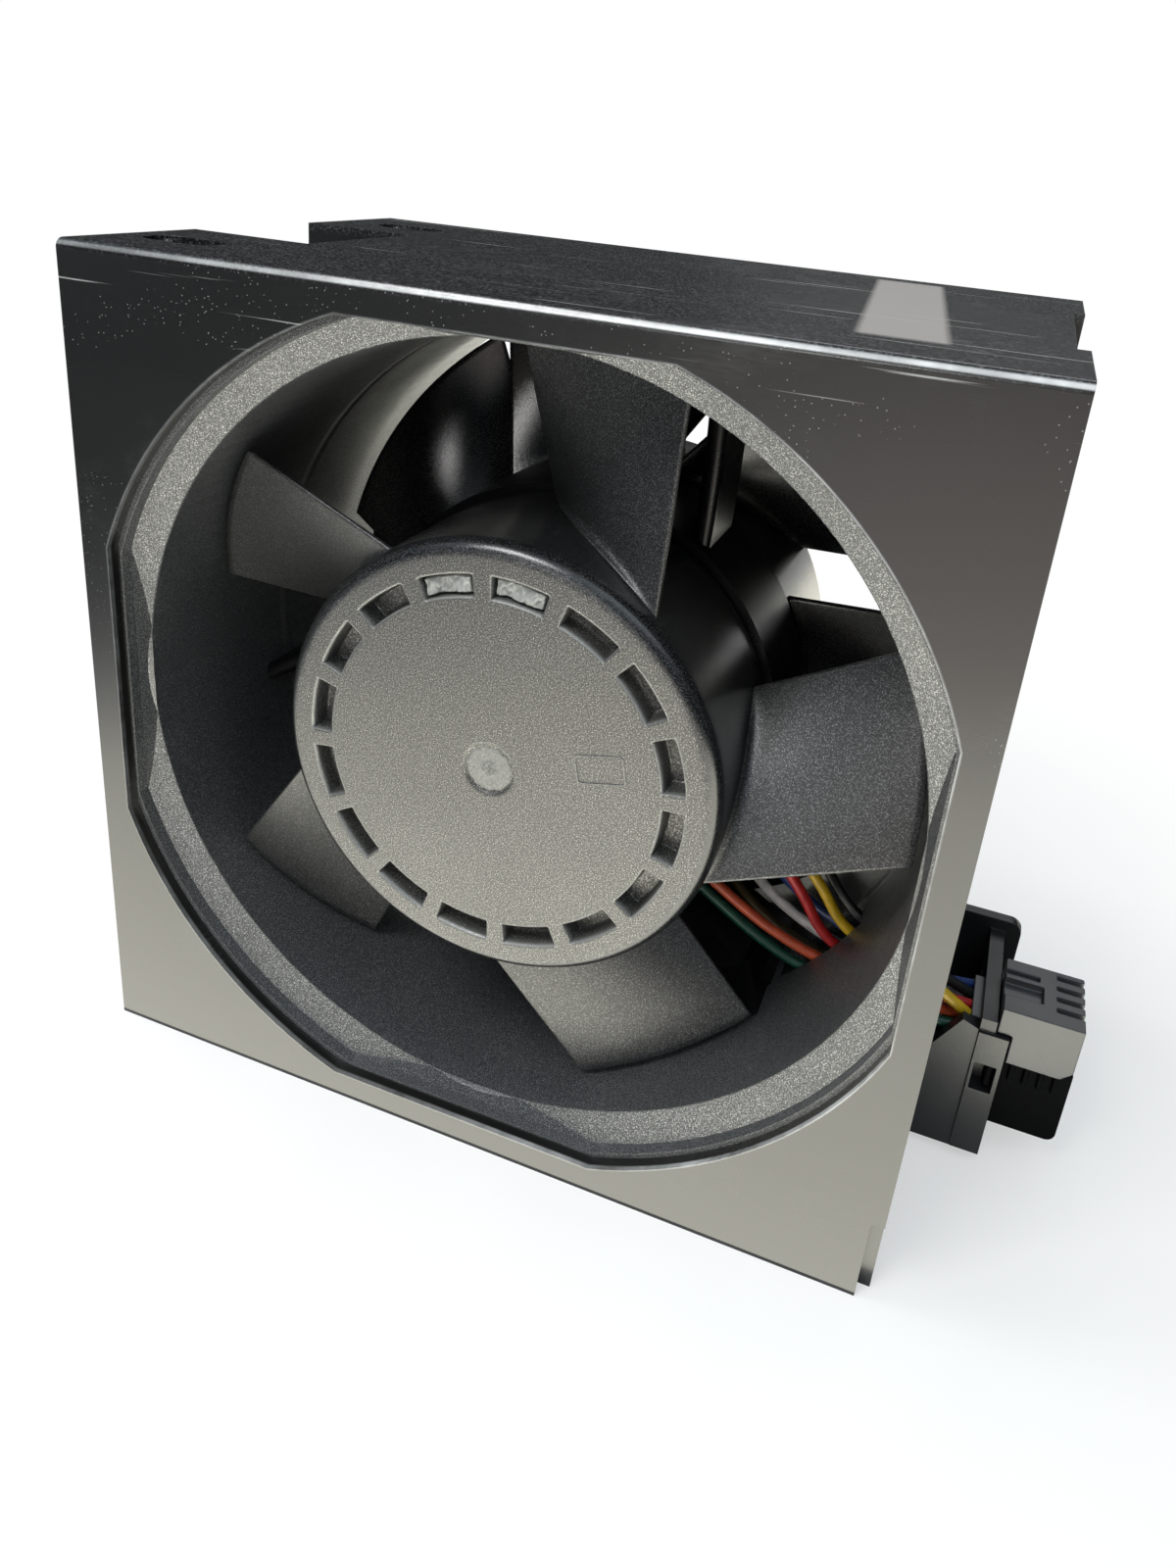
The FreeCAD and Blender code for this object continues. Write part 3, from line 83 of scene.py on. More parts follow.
class Tree:
    """A node tree, with short calls for the nodes this file uses; a value may be a socket to link instead."""

    def __init__(self, tree):
        self.tree = tree
        self.source = None

    def feed(self, value, socket):
        """Link a socket to another one, or set it to a number, a vector or a colour."""
        if isinstance(value, bpy.types.NodeSocket):
            self.tree.links.new(value, socket)
        elif socket.type == "RGBA":
            socket.default_value = (*value, 1.0)
        else:
            socket.default_value = value

    def node(self, kind, **values):
        node = self.tree.nodes.new(kind)
        for name, value in values.items():
            self.feed(value, node.inputs[name.replace("_", " ")])
        return node

    def first(self, kind):
        return next(node for node in self.tree.nodes if node.type == kind)

    def coordinates(self, kind="Object"):
        if self.source is None:
            self.source = self.node("ShaderNodeTexCoord")
        return self.source.outputs[kind]

    def place(self, scale=(1.0, 1.0, 1.0), turn=(0.0, 0.0, 0.0)):
        """Object coordinates, in metres, scaled and turned."""
        return self.node("ShaderNodeMapping", Vector=self.coordinates(), Scale=scale, Rotation=turn).outputs["Vector"]

    def split(self, vector):
        return tuple(self.node("ShaderNodeSeparateXYZ", Vector=vector).outputs)

    def noise(self, vector, scale, detail=2.0, roughness=0.5):
        node = self.node("ShaderNodeTexNoise", Vector=vector, Scale=scale, Detail=detail, Roughness=roughness)
        return node.outputs["Fac"]

    def ramp(self, factor, low, high, low_value=0.0, high_value=1.0):
        """Straight line from one value to another between two limits of the factor."""
        node = self.node("ShaderNodeMapRange", Value=factor, From_Min=low, From_Max=high,
                         To_Min=low_value, To_Max=high_value)
        return node.outputs["Result"]

    def math(self, operation, first, second=0.0, clamp=False):
        node = self.node("ShaderNodeMath")
        node.operation = operation
        node.use_clamp = clamp
        for value, socket in zip((first, second), node.inputs):
            self.feed(value, socket)
        return node.outputs[0]

    def times(self, first, *others):
        for other in others:
            first = self.math("MULTIPLY", first, other)
        return first

    def mix(self, factor, first, second):
        """Blend of two colours."""
        node = self.node("ShaderNodeMix")
        node.data_type = "RGBA"
        for value, index in ((factor, 0), (first, 6), (second, 7)):
            self.feed(value, node.inputs[index])
        return node.outputs[2]

    def blend(self, factor, first, second):
        """Blend of two surface or background nodes."""
        node = self.node("ShaderNodeMixShader")
        for value, socket in zip((factor, first.outputs[0], second.outputs[0]), node.inputs):
            self.feed(value, socket)
        return node.outputs[0]

    def group(self, tree, **values):
        node = self.node("ShaderNodeGroup")
        node.node_tree = tree
        for name, value in values.items():
            self.feed(value, node.inputs[name])
        return node


class Shader(Tree):
    """A material with a Principled surface."""

    def __init__(self, name):
        self.material = bpy.data.materials.new(name)
        self.material.use_nodes = True
        super().__init__(self.material.node_tree)
        self.surface = self.first("BSDF_PRINCIPLED")

    def set(self, **values):
        for name, value in values.items():
            self.feed(value, self.surface.inputs[name.replace("_", " ")])

    def bump(self, height, distance, strength):
        node = self.node("ShaderNodeBump", Height=height, Distance=distance, Strength=strength)
        self.set(Normal=node.outputs["Normal"])

    def show(self, output):
        """Use another shader in place of the Principled surface."""
        self.feed(output, self.first("OUTPUT_MATERIAL").inputs["Surface"])


def new_group(name, inputs, outputs):
    """Empty shader group with float inputs and outputs."""
    group = Tree(bpy.data.node_groups.new(name, "ShaderNodeTree"))
    for labels, way in ((inputs, "INPUT"), (outputs, "OUTPUT")):
        for label in labels:
            group.tree.interface.new_socket(label, in_out=way, socket_type="NodeSocketFloat")
    return group, group.node("NodeGroupInput").outputs, group.node("NodeGroupOutput").inputs


def grain_group():
    """Moulded grain: fine noise for the height, and its highest points as bright glass specks."""
    group, given, result = new_group("moulded_grain", ("Scale", "Speck"), ("Height", "Specks"))
    fine = group.noise(group.coordinates(), given["Scale"], 2.0, 0.6)
    above = group.math("SUBTRACT", fine, given["Speck"])
    group.feed(fine, result["Height"])
    group.feed(group.math("MULTIPLY", above, 5.0, clamp=True), result["Specks"])
    return group.tree


def dust_group():
    """Sparse dust: small cells, kept only where a broad noise is high."""
    group, given, result = new_group("settled_dust", ("Scale", "Size", "Patch"), ("Mask",))
    cells = group.node("ShaderNodeTexVoronoi", Vector=group.coordinates(), Scale=given["Scale"])
    near = group.math("LESS_THAN", cells.outputs["Distance"], given["Size"])
    patch = group.math("GREATER_THAN", group.noise(group.coordinates(), 45.0, 3.0), given["Patch"])
    group.feed(group.times(near, patch), result["Mask"])
    return group.tree


GRAIN = grain_group()
DUST = dust_group()


# ---------------------------------------------------------------- materials

def soft_band(shade, value, low, high, soft):
    """1 between two limits, falling to 0 over a soft distance outside them."""
    return shade.times(shade.ramp(value, low - soft, low), shade.ramp(value, high, high + soft, 1.0, 0.0))


def from_axis(shade, x, z):
    """Distance from the rotor axis, and the larger of its parts across and up."""
    up = shade.math("SUBTRACT", z, AXIS_Z)
    radius = shade.math("SQRT", shade.math("ADD", shade.times(x, x), shade.times(up, up)))
    return radius, shade.math("MAXIMUM", shade.math("ABSOLUTE", x), shade.math("ABSOLUTE", up))


def pale_top_patch(shade, x, y, z):
    """Mask of a paler place on the top: a slightly slanted strip."""
    slanted = shade.math("ADD", x, shade.times(y, 0.1))
    return shade.times(soft_band(shade, slanted, 0.0356, 0.0448, 0.001),
                       soft_band(shade, y, -0.0285, 0.036, 0.002), shade.ramp(z, 0.1252, 0.1256))


def top_edge_highlight_and_wear(shade, x, y, z):
    """Line along the front plate's top edge painted lighter, as painted highlight with some wear, patchy, and fainter
    towards the left.
    """
    edge = shade.times(soft_band(shade, z, 0.1253, 0.1256, 0.0002), shade.ramp(y, -0.0408, -0.0404, 1.0, 0.0))
    patches = shade.noise(shade.place((1.0, 0.0, 0.0)), 60.0, 4.0, 0.7)
    return shade.times(edge, shade.ramp(patches, 0.3, 0.6, 0.25, 1.0), shade.ramp(x, -0.055, 0.0, 0.25, 1.0))


def rim_highlight_and_wear(shade, x, y, z):
    """Thin line round the opening's front edge painted lighter, as painted highlight with some wear, patchy, and
    stronger on the right.
    """
    radius, flat = from_axis(shade, x, z)
    outside = shade.math("MAXIMUM", shade.math("SUBTRACT", radius, OPENING_ROUND),
                         shade.math("SUBTRACT", flat, OPENING_FLAT))
    patches = shade.noise(shade.place(), 70.0, 4.0, 0.7)
    return shade.times(shade.ramp(outside, 0.00005, 0.0003, 1.0, 0.0), shade.ramp(x, -0.02, 0.05, 0.3, 0.85),
                       shade.ramp(patches, 0.35, 0.65, 0.15, 1.0), shade.ramp(y, -0.0414, -0.0411, 1.0, 0.0))


def gloss_black():
    """Polished black carrier moulding: dust, greasy prints, haze, hairlines, a pale patch, painted edge highlight and
    wear.
    """
    shade = Shader("carrier_gloss")
    x, y, z = shade.split(shade.place())
    dust = shade.group(DUST, Scale=1600.0, Size=0.12, Patch=0.525)
    settled = shade.times(dust.outputs["Mask"], shade.ramp(z, 0.05, 0.105, 0.0, 0.9))
    grease = shade.ramp(shade.noise(shade.place(), 38.0, 4.0, 0.65), 0.54, 0.7)
    ridges = shade.noise(shade.place((420.0, 420.0, 2600.0), (0.0, 0.5, 0.0)), 1.0, 1.0)
    prints = shade.times(grease, shade.ramp(ridges, 0.4, 0.6, 0.25, 1.0))
    powder = shade.noise(shade.place(), 2600.0)
    haze = shade.times(shade.ramp(z, 0.1245, 0.1257), shade.ramp(powder, 0.5, 0.7))
    hairline = shade.noise(shade.place((22.0, 900.0, 1900.0), (0.0, -0.1, 0.1)), 1.0)
    scratch = shade.times(shade.ramp(hairline, 0.69, 0.73), shade.ramp(z, 0.108, 0.122))
    # A paler, rougher slanted patch on the top.
    label = pale_top_patch(shade, x, y, z)
    # Edge lines painted lighter: painted highlight along the top edge and round the opening, with some wear.
    edge_highlight_and_wear = shade.math("MAXIMUM", top_edge_highlight_and_wear(shade, x, y, z), rim_highlight_and_wear(shade, x, y, z))
    colour = (0.0075, 0.0072, 0.007)
    # The last coat paints the edge highlight and wear; the coat before it is the pale patch on the top.
    for mask, coat in ((settled, (0.26, 0.26, 0.25)), (shade.times(prints, 0.28), (0.05, 0.05, 0.05)),
                       (shade.times(haze, 0.5), (0.14, 0.146, 0.152)), (shade.times(scratch, 0.8), (0.4, 0.4, 0.38)),
                       (shade.times(label, 0.8), (0.29, 0.265, 0.245)), (edge_highlight_and_wear, (0.55, 0.55, 0.54))):
        colour = shade.mix(mask, colour, coat)
    smear = shade.noise(shade.place((9.0, 9.0, 55.0), (0.0, 0.25, 0.0)), 1.0, 4.0, 0.6)
    rough = shade.math("ADD", shade.ramp(smear, 0.35, 0.7, 0.25, 0.29), shade.times(prints, 0.07))
    shade.set(Base_Color=colour, Roughness=shade.math("ADD", rough, shade.times(label, 0.2)), IOR=1.52)
    return shade.material


def glass_filled(name, colour, speck_colour, scale, speck, rough, depth, index=1.5):
    """Glass-filled black plastic: dense grain, short brighter specks and cloudy gloss."""
    shade = Shader(name)
    grain = shade.group(GRAIN, Scale=scale, Speck=speck)
    cloud = shade.noise(shade.place(), 70.0, 3.0)
    shade.set(Base_Color=shade.mix(grain.outputs["Specks"], colour, speck_colour),
              Roughness=shade.ramp(cloud, 0.3, 0.7, rough - 0.05, rough + 0.06), IOR=index)
    shade.bump(grain.outputs["Height"], depth, 0.6)
    return shade.material


def frame_plastic():
    """Frame moulding: grained and matt at the mouth and flanges; inside the barrel polished, and painted darker as
    shade.

    The bump's height rises with a ramp beside the joint of the two frames, as rounded lips, and along
    the mouth's four facets, so that they shade as steeper walls.
    """
    shade = Shader("frame_grain")
    grain = shade.group(GRAIN, Scale=6200.0, Speck=0.5).outputs
    x, y, z = shade.split(shade.place())
    radius, flat = from_axis(shade, x, z)
    barrel = shade.ramp(radius, *BARREL_EDGE, 1.0, 0.0)
    matt = shade.ramp(barrel, 0.0, 1.0, 1.0, 0.3)
    cloud = shade.noise(shade.place(), 70.0, 3.0)
    rough = shade.math("SUBTRACT", shade.ramp(cloud, 0.3, 0.7, 0.37, 0.46), shade.times(barrel, 0.17))
    # Inside the barrel the plain colour is darker, as painted shade besides the barrel's polish; the bluish cast of
    # both colours is painted sky light.
    plain = shade.mix(barrel, (0.024, 0.0252, 0.0265), (0.013, 0.0141, 0.0155))
    shade.set(Base_Color=shade.mix(shade.times(grain["Specks"], matt), plain, (0.37, 0.375, 0.38)),
              Metallic=shade.times(grain["Specks"], shade.times(matt, 0.8)), Roughness=rough, IOR=1.55)
    from_joint = shade.math("ABSOLUTE", shade.math("SUBTRACT", y, JOINT_Y))
    lips = shade.times(shade.ramp(from_joint, 0.0002, 0.0015, 0.0, 12.0), barrel)
    from_facet = shade.math("SUBTRACT", flat, shade.ramp(from_joint, *MOUTH_DEPTH, *MOUTH_FLAT))
    facet = shade.times(shade.ramp(from_facet, -0.00006, -0.00002),
                        soft_band(shade, from_joint, 0.03402, 0.03598, 0.00001))
    upright = shade.times(facet, shade.times(from_joint, 7500.0))
    shade.bump(shade.math("ADD", shade.times(grain["Height"], matt), shade.math("ADD", lips, upright)), 0.00008, 0.7)
    return shade.material


def rotor_plastic():
    """Glass-filled rotor plastic, told apart by the zone attribute.

    The hub's face is matt (zone 0) with lips (-1) painted lighter as wear and painted highlight, the front blades
    are satin (0.5), and the hub's side and the rear blades are polished (1).
    """
    shade = Shader("rotor_grain")
    grain = shade.group(GRAIN, Scale=5400.0, Speck=0.5).outputs
    attribute = shade.node("ShaderNodeAttribute")
    attribute.attribute_name = "zone"
    zone = attribute.outputs["Fac"]
    face = shade.ramp(zone, 0.0, 0.5, 1.0, 0.0)
    polished = shade.ramp(zone, 0.5, 1.0)
    lip_highlight_and_wear = shade.times(shade.ramp(zone, -0.9, -0.35, 1.0, 0.0), 0.4)
    specks = shade.times(grain["Specks"], shade.ramp(polished, 0.0, 1.0, 1.0, 0.35))
    plain = shade.mix(face, (0.004, 0.0042, 0.0046), (0.022, 0.0217, 0.0205))
    glint = shade.mix(face, (0.168, 0.168, 0.173), (0.285, 0.281, 0.263))
    cloud = shade.ramp(shade.noise(shade.place(), 70.0, 3.0), 0.3, 0.7, -0.04, 0.04)
    rough = shade.math("ADD", shade.ramp(face, 0.0, 1.0, 0.34, 0.41), cloud)
    # The lip colour (0.4, 0.4, 0.385) paints the pockets' lips and the insert's line lighter, as wear and painted
    # highlight.
    shade.set(Base_Color=shade.mix(lip_highlight_and_wear, shade.mix(specks, plain, glint), (0.4, 0.4, 0.385)),
              Metallic=shade.times(specks, 0.85), IOR=1.5,
              Roughness=shade.math("SUBTRACT", rough, shade.times(polished, 0.17)))
    coarse = shade.math("SUBTRACT", shade.ramp(face, 0.0, 1.0, 1.0, 0.7), shade.times(polished, 0.6))
    shade.bump(shade.times(grain["Height"], coarse), 0.00006, 0.7)
    return shade.material


def plain_metal(name, colour, rough, ring_scale):
    """Turned or stamped metal with fine machining lines."""
    shade = Shader(name)
    lines = shade.noise(shade.place((1.0, 8.0, 1.0)), ring_scale, 2.0)
    shade.set(Base_Color=shade.mix(shade.ramp(lines, 0.35, 0.65), colour, tuple(part * 0.8 for part in colour)),
              Metallic=1.0, Roughness=shade.ramp(lines, 0.3, 0.7, rough, rough + 0.12))
    return shade.material


def insulation(name, colour):
    """Lead insulation: soft sheen with faint extrusion waviness."""
    shade = Shader(name)
    wave = shade.noise(shade.place(), 500.0, 2.0)
    dark = tuple(part * 0.72 for part in colour)
    shade.set(Base_Color=shade.mix(shade.ramp(wave, 0.35, 0.65), dark, colour), Roughness=0.38)
    shade.bump(wave, 0.00003, 0.5)
    return shade.material


def mottled(name, colour, other, scale, rough, depth=0.00003):
    """Any plain stuff of two close tones, such as putty, resist or lacquer."""
    shade = Shader(name)
    patch = shade.noise(shade.place(), scale, 4.0, 0.6)
    shade.set(Base_Color=shade.mix(shade.ramp(patch, 0.35, 0.65), colour, other),
              Roughness=shade.ramp(patch, 0.3, 0.7, rough, rough + 0.1))
    shade.bump(patch, depth, 0.7)
    return shade.material


FINISHES = {
    "carrier": gloss_black(),
    "frame": frame_plastic(),
    "bracket": glass_filled("bracket_grain", (0.012, 0.012, 0.0125), (0.035, 0.035, 0.035),
                            scale=2400.0, speck=0.68, rough=0.36, depth=0.00003),
    # The housing's grey is painted light: it stands in for light on its top; the plastic is as black as the bracket.
    "housing": glass_filled("housing_grain", (0.05, 0.05, 0.051), (0.11, 0.11, 0.11),
                            scale=2400.0, speck=0.68, rough=0.3, depth=0.00002),
    # Guide painted near black as painted shade: it sits back in shadow below the housing.
    "guide": glass_filled("guide_grain", (0.002, 0.0021, 0.0025), (0.007, 0.007, 0.007),
                          scale=2400.0, speck=0.7, rough=0.62, depth=0.00003, index=1.1),
    "putty": mottled("putty_glaze", (0.42, 0.42, 0.39), (0.24, 0.24, 0.225), 260.0, 0.2, 0.0001),
    "scar": mottled("gate_scar_plastic", (0.22, 0.218, 0.2), (0.12, 0.119, 0.108), 2500.0, 0.36, 0.00005),
    "steel": plain_metal("bright_steel", (0.55, 0.55, 0.56), 0.25, 700.0),
    "brass": plain_metal("turned_brass", (0.7, 0.52, 0.24), 0.3, 900.0),
    "yoke": plain_metal("plated_steel", (0.32, 0.32, 0.33), 0.35, 500.0),
    "magnet": mottled("magnet_ferrite", (0.05, 0.05, 0.05), (0.035, 0.035, 0.037), 600.0, 0.6),
    "liner": mottled("liner_nylon", (0.62, 0.6, 0.53), (0.55, 0.53, 0.46), 300.0, 0.5),
    "coil": plain_metal("coil_copper", (0.62, 0.26, 0.1), 0.3, 2600.0),
    "board": mottled("board_resist", (0.012, 0.07, 0.03), (0.01, 0.05, 0.022), 260.0, 0.35),
    # Motor support painted near black as painted shade: little light reaches it inside the duct.
    "support": glass_filled("support_grain", (0.004, 0.0042, 0.005), (0.014, 0.014, 0.014),
                            scale=4000.0, speck=0.56, rough=0.3, depth=0.00004, index=1.28),
    "component": mottled("component_epoxy", (0.02, 0.02, 0.02), (0.028, 0.028, 0.028), 900.0, 0.55),
    "rotor": rotor_plastic(),
}
LEAD_COLOURS = {
    "green": (0.004, 0.075, 0.045), "orange": (0.66, 0.095, 0.03), "red": (0.50, 0.015, 0.018),
    "yellow": (0.66, 0.40, 0.01), "brown": (0.09, 0.06, 0.015), "white": (0.85, 0.8, 0.76),
    "blue": (0.012, 0.035, 0.16), "black": (0.012, 0.012, 0.012),
}
NODE_FINISH = {
    "carrier": "carrier", "fan_frame": "frame", "motor_support": "support", "impeller": "rotor",
    "balance_putty": "putty", "joining_screws": "steel", "joining_nuts": "steel", "connector_bracket": "bracket",
    "bracket_screws": "steel", "connector_housing": "housing", "connector_contacts": "brass",
    "connector_guide": "guide", "bearing_tube": "brass", "bearing_outer_rings": "steel", "bearing_inner_rings": "steel",
    "bearing_balls": "steel", "shaft": "steel", "retaining_clip": "steel", "preload_spring": "steel",
    "stator_core": "yoke", "stator_insulators": "liner", "stator_coils": "coil", "driver_board": "board",
    "board_components": "component", "rotor_yoke": "yoke", "ring_magnet": "magnet",
}


def wear(piece, material):
    """Give one material to a whole piece."""
    piece.data.materials.clear()
    piece.data.materials.append(material)


def dress_nodes():
    """Give every CAD node its finish."""
    for name, node in NODES.items():
        first, _, rest = name.partition("_")
        if first == "lead":
            wear(node, insulation("insulation_" + rest, LEAD_COLOURS[rest]))
        else:
            wear(node, FINISHES[NODE_FINISH[rest if first in ("front", "rear") else name]])


# ---------------------------------------------------------------- softened copies of CAD nodes

SOFT_EDGES = {
    # width of the rounding in metres, least bend in degrees that it rounds, most corners of a joined face
    "carrier": (0.00035, 28.0, 200),
    "connector_bracket": (0.0002, 28.0, 200),
    "connector_housing": (0.0002, 28.0, 8),
    "connector_guide": (0.00025, 28.0, 200),
    "front_fan_frame": (0.00025, 14.0, 24),
    "rear_fan_frame": (0.00025, 14.0, 24),
}


def softened(node_name):
    """Copy of a CAD node with its flat faces joined and its edges rounded a little.

    A joined face with more corners than the table allows, such as a flange round an opening, is split
    into triangles before the rounding, which would otherwise let a false one lie across the opening.
    """
    width, least_bend, most_corners = SOFT_EDGES[node_name]
    source = NODES[node_name]
    mesh = source.data.copy()
    work = bmesh.new()
    work.from_mesh(mesh)
    bmesh.ops.remove_doubles(work, verts=work.verts, dist=1e-6)
    bmesh.ops.dissolve_limit(work, angle_limit=math.radians(0.4), verts=work.verts, edges=work.edges)
    bmesh.ops.triangulate(work, faces=[face for face in work.faces if len(face.verts) > most_corners])
    work.to_mesh(mesh)
    work.free()
    mesh.shade_smooth()
    piece = bpy.data.objects.new(node_name + "_softened", mesh)
    bpy.context.scene.collection.objects.link(piece)
    bevel = piece.modifiers.new("edge", "BEVEL")
    bevel.width = width
    bevel.segments = 2
    bevel.limit_method = "ANGLE"
    bevel.angle_limit = math.radians(least_bend)
    bevel.miter_outer = "MITER_ARC"
    even = piece.modifiers.new("even", "WEIGHTED_NORMAL")
    even.weight = 100
    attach(piece, source["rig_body"])
    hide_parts(node_name)


# ---------------------------------------------------------------- surfaces worked out with numpy

class Fan:
    """Where a fan's own frame stands; its depth runs inwards from the fan's outer face."""

    def __init__(self, name, body, way):
        self.name = name
        self.body = body
        self.way = way
        low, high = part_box(name + "_fan_frame")
        self.face = low[1] if way > 0 else high[1]

    def stand(self, x, depth, z):
        """Fan-frame millimetres to the module's metres; the rear fan is turned half a turn about Z."""
        return np.stack([self.way * x * MM, self.face + self.way * depth * MM, AXIS_Z + z * MM], axis=-1)

    def polar(self, radius, turn, depth):
        angle = np.radians(turn)
        return self.stand(radius * np.cos(angle), depth + 0.0 * radius, radius * np.sin(angle))


FRONT = Fan("front", "front_rotor", 1)
REAR = Fan("rear", "rear_rotor", -1)


def grid_faces(rows, columns, closed=True):
    """Quads of a grid of points, as an index array; the last column may join the first."""
    row, column = np.meshgrid(np.arange(rows - 1), np.arange(columns if closed else columns - 1), indexing="ij")
    after, beside = row + 1, (column + 1) % columns
    quads = [row * columns + column, row * columns + beside, after * columns + beside, after * columns + column]
    return np.stack(quads, axis=-1).reshape(-1, 4)


def make_piece(name, body, grids, material, zones=None):
    """One mesh from several grids, each (points, faces); normals are turned outwards."""
    points, faces, start = [], [], 0
    for place, quads in grids:
        flat = place.reshape(-1, 3)
        points.append(flat)
        faces.append(quads + start)
        start += len(flat)
    mesh = bpy.data.meshes.new(name)
    mesh.from_pydata(np.concatenate(points).tolist(), [], np.concatenate(faces).tolist())
    if zones is not None:
        layer = mesh.attributes.new("zone", "FLOAT", "POINT")
        layer.data.foreach_set("value", np.concatenate([zone.reshape(-1) for zone in zones]).astype(np.float32))
    work = bmesh.new()
    work.from_mesh(mesh)
    bmesh.ops.remove_doubles(work, verts=work.verts, dist=2e-7)
    bmesh.ops.recalc_face_normals(work, faces=work.faces)
    work.to_mesh(mesh)
    work.free()
    mesh.shade_smooth()
    piece = bpy.data.objects.new(name, mesh)
    bpy.context.scene.collection.objects.link(piece)
    wear(piece, material)
    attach(piece, body)
    return piece


def step(value, low, high):
    """Smooth rise from 0 to 1 between two values."""
    along = np.clip((value - low) / (high - low), 0.0, 1.0)
    return along * along * (3.0 - 2.0 * along)


# ---------------------------------------------------------------- impellers

POCKET_PITCH = 22.5
POCKET_FIRST = 16.4
POCKET_HALF = 8.2
POCKET_INNER = (24.72, 25.08)
POCKET_OUTER = (27.62, 27.98)
POCKET_DEPTH = 3.4
GATE_EDGE = (3.55, 3.85)
GATE_DEPTH = 0.3
HUB_FACE = 2.3
HUB_RADIUS = 32.5
TIP_RADIUS = 56.4
SHOULDER = 2.3
FACE_RADII = [0.0, 0.5, 0.9, 1.25, 1.6, 2.4, 3.2, 3.55, 3.7, 3.85, 4.3, 6, 8, 10, 12, 14, 16, 18, 20, 22, 23.6,
              24.4, 24.72, 24.84, 24.96, 25.08, 25.3, 26.0, 26.7, 27.4, 27.62, 27.74, 27.86, 27.98, 28.3, 29.0, 29.8]

# A blade's section: millimetres, but the bow is a share of its drop and the rounding a share of its length.
BLADE_BOW = 0.3
BLADE_THICKNESS = 2.2
BLADE_THINNING = 0.7
BLADE_EDGE = 0.7
EDGE_ROUNDING = 0.012
ROOT_FLARE = 1.3
ROOT_REACH = 0.5

BLADES = {
    # leading hub, leading tip, trailing hub, trailing tip, each (angle, depth)
    "front": (5, (52.0, 6.6), (69.2, 11.0), (92.0, 23.9), (96.7, 20.3)),
    "rear": (7, (-1.6, 24.2), (11.4, 18.0), (44.5, 5.8), (57.0, 10.0)),
}


def hub_profile():
    """Radius and depth down the hub: face, rounded shoulder, side, rear edge and inside."""
    bend = np.linspace(0, math.pi / 2, 11)
    shoulder_r = HUB_RADIUS - SHOULDER + SHOULDER * np.sin(bend)
    shoulder_d = HUB_FACE + SHOULDER - SHOULDER * np.cos(bend)
    side = [5.2, 7, 10, 13, 16, 19, 22, 25, 27.2, 27.9]
    inside_r, inside_d = [32.4, 32.25, 31.2, 30.98, 30.98, 0.0], [28.08, 28.15, 28.15, 27.9, 6.88, 6.88]
    radius = np.concatenate([FACE_RADII, shoulder_r, np.full(len(side), HUB_RADIUS), inside_r])
    depth = np.concatenate([np.full(len(FACE_RADII), HUB_FACE), shoulder_d, side, inside_d])
    return radius, depth


def hub_columns():
    """Angles round the hub, close together at the ends of each pocket."""
    half = np.array([0.0, 2.0, 4.0, 6.0, 7.3, 7.75, 8.0, 8.2, 8.4, 8.65, 9.2, 10.2])
    offsets = np.concatenate([-half[:0:-1], half, [11.25]])
    pitches = POCKET_FIRST + POCKET_PITCH * np.arange(16)
    return (pitches[:, None] + offsets[None, :]).reshape(-1)


def hub(fan):
    """Hub as a turned profile; pockets sink where radius and angle both lie inside their edges.

    The zone is 0 on the face, 1 on the side, and falls to -1 along the pockets' lips: wear and painted highlight.
    """
    radius, depth = hub_profile()
    turn = hub_columns()
    r, angle = np.meshgrid(radius, turn, indexing="ij")
    d = np.repeat(depth[:, None], len(turn), axis=1)
    on_face = (np.arange(len(radius)) < len(FACE_RADII))[:, None]
    offset = np.abs((angle - POCKET_FIRST + POCKET_PITCH / 2) % POCKET_PITCH - POCKET_PITCH / 2)
    ends = 1.0 - step(offset, POCKET_HALF - 0.3, POCKET_HALF + 0.3)
    walls = step(r, *POCKET_INNER) * (1.0 - step(r, *POCKET_OUTER))
    gate = GATE_DEPTH * (1.0 - step(r, *GATE_EDGE))
    d = d + on_face * (POCKET_DEPTH * ends * walls + gate)
    place = fan.polar(r, angle, d)
    zone = np.clip(step(r, 29.9, 31.8) + (d > 4.0) * (r > 29.0), 0.0, 1.0)
    by_end = (1.0 - np.clip(np.abs(offset - 8.5) / 0.35, 0, 1)) * (r > 24.6) * (r < 28.1)
    from_wall = np.minimum(np.abs(r - POCKET_INNER[0]), np.abs(r - POCKET_OUTER[1]))
    by_wall = (1.0 - np.clip(from_wall / 0.25, 0, 1)) * (offset < 8.7)
    zone = zone - on_face * np.maximum(by_end, by_wall)
    return place, grid_faces(len(radius), len(turn)), zone


def straight_edge(span, hub_end, tip_end):
    """Radius, turn and depth along the straight line between two (turn, depth) ends at hub and tip."""
    (first_turn, first_depth), (last_turn, last_depth) = hub_end, tip_end
    first, last = math.radians(first_turn), math.radians(last_turn)
    x = HUB_RADIUS * math.cos(first) * (1 - span) + TIP_RADIUS * math.cos(last) * span
    z = HUB_RADIUS * math.sin(first) * (1 - span) + TIP_RADIUS * math.sin(last) * span
    return np.hypot(x, z), np.degrees(np.arctan2(z, x)), first_depth * (1 - span) + last_depth * span


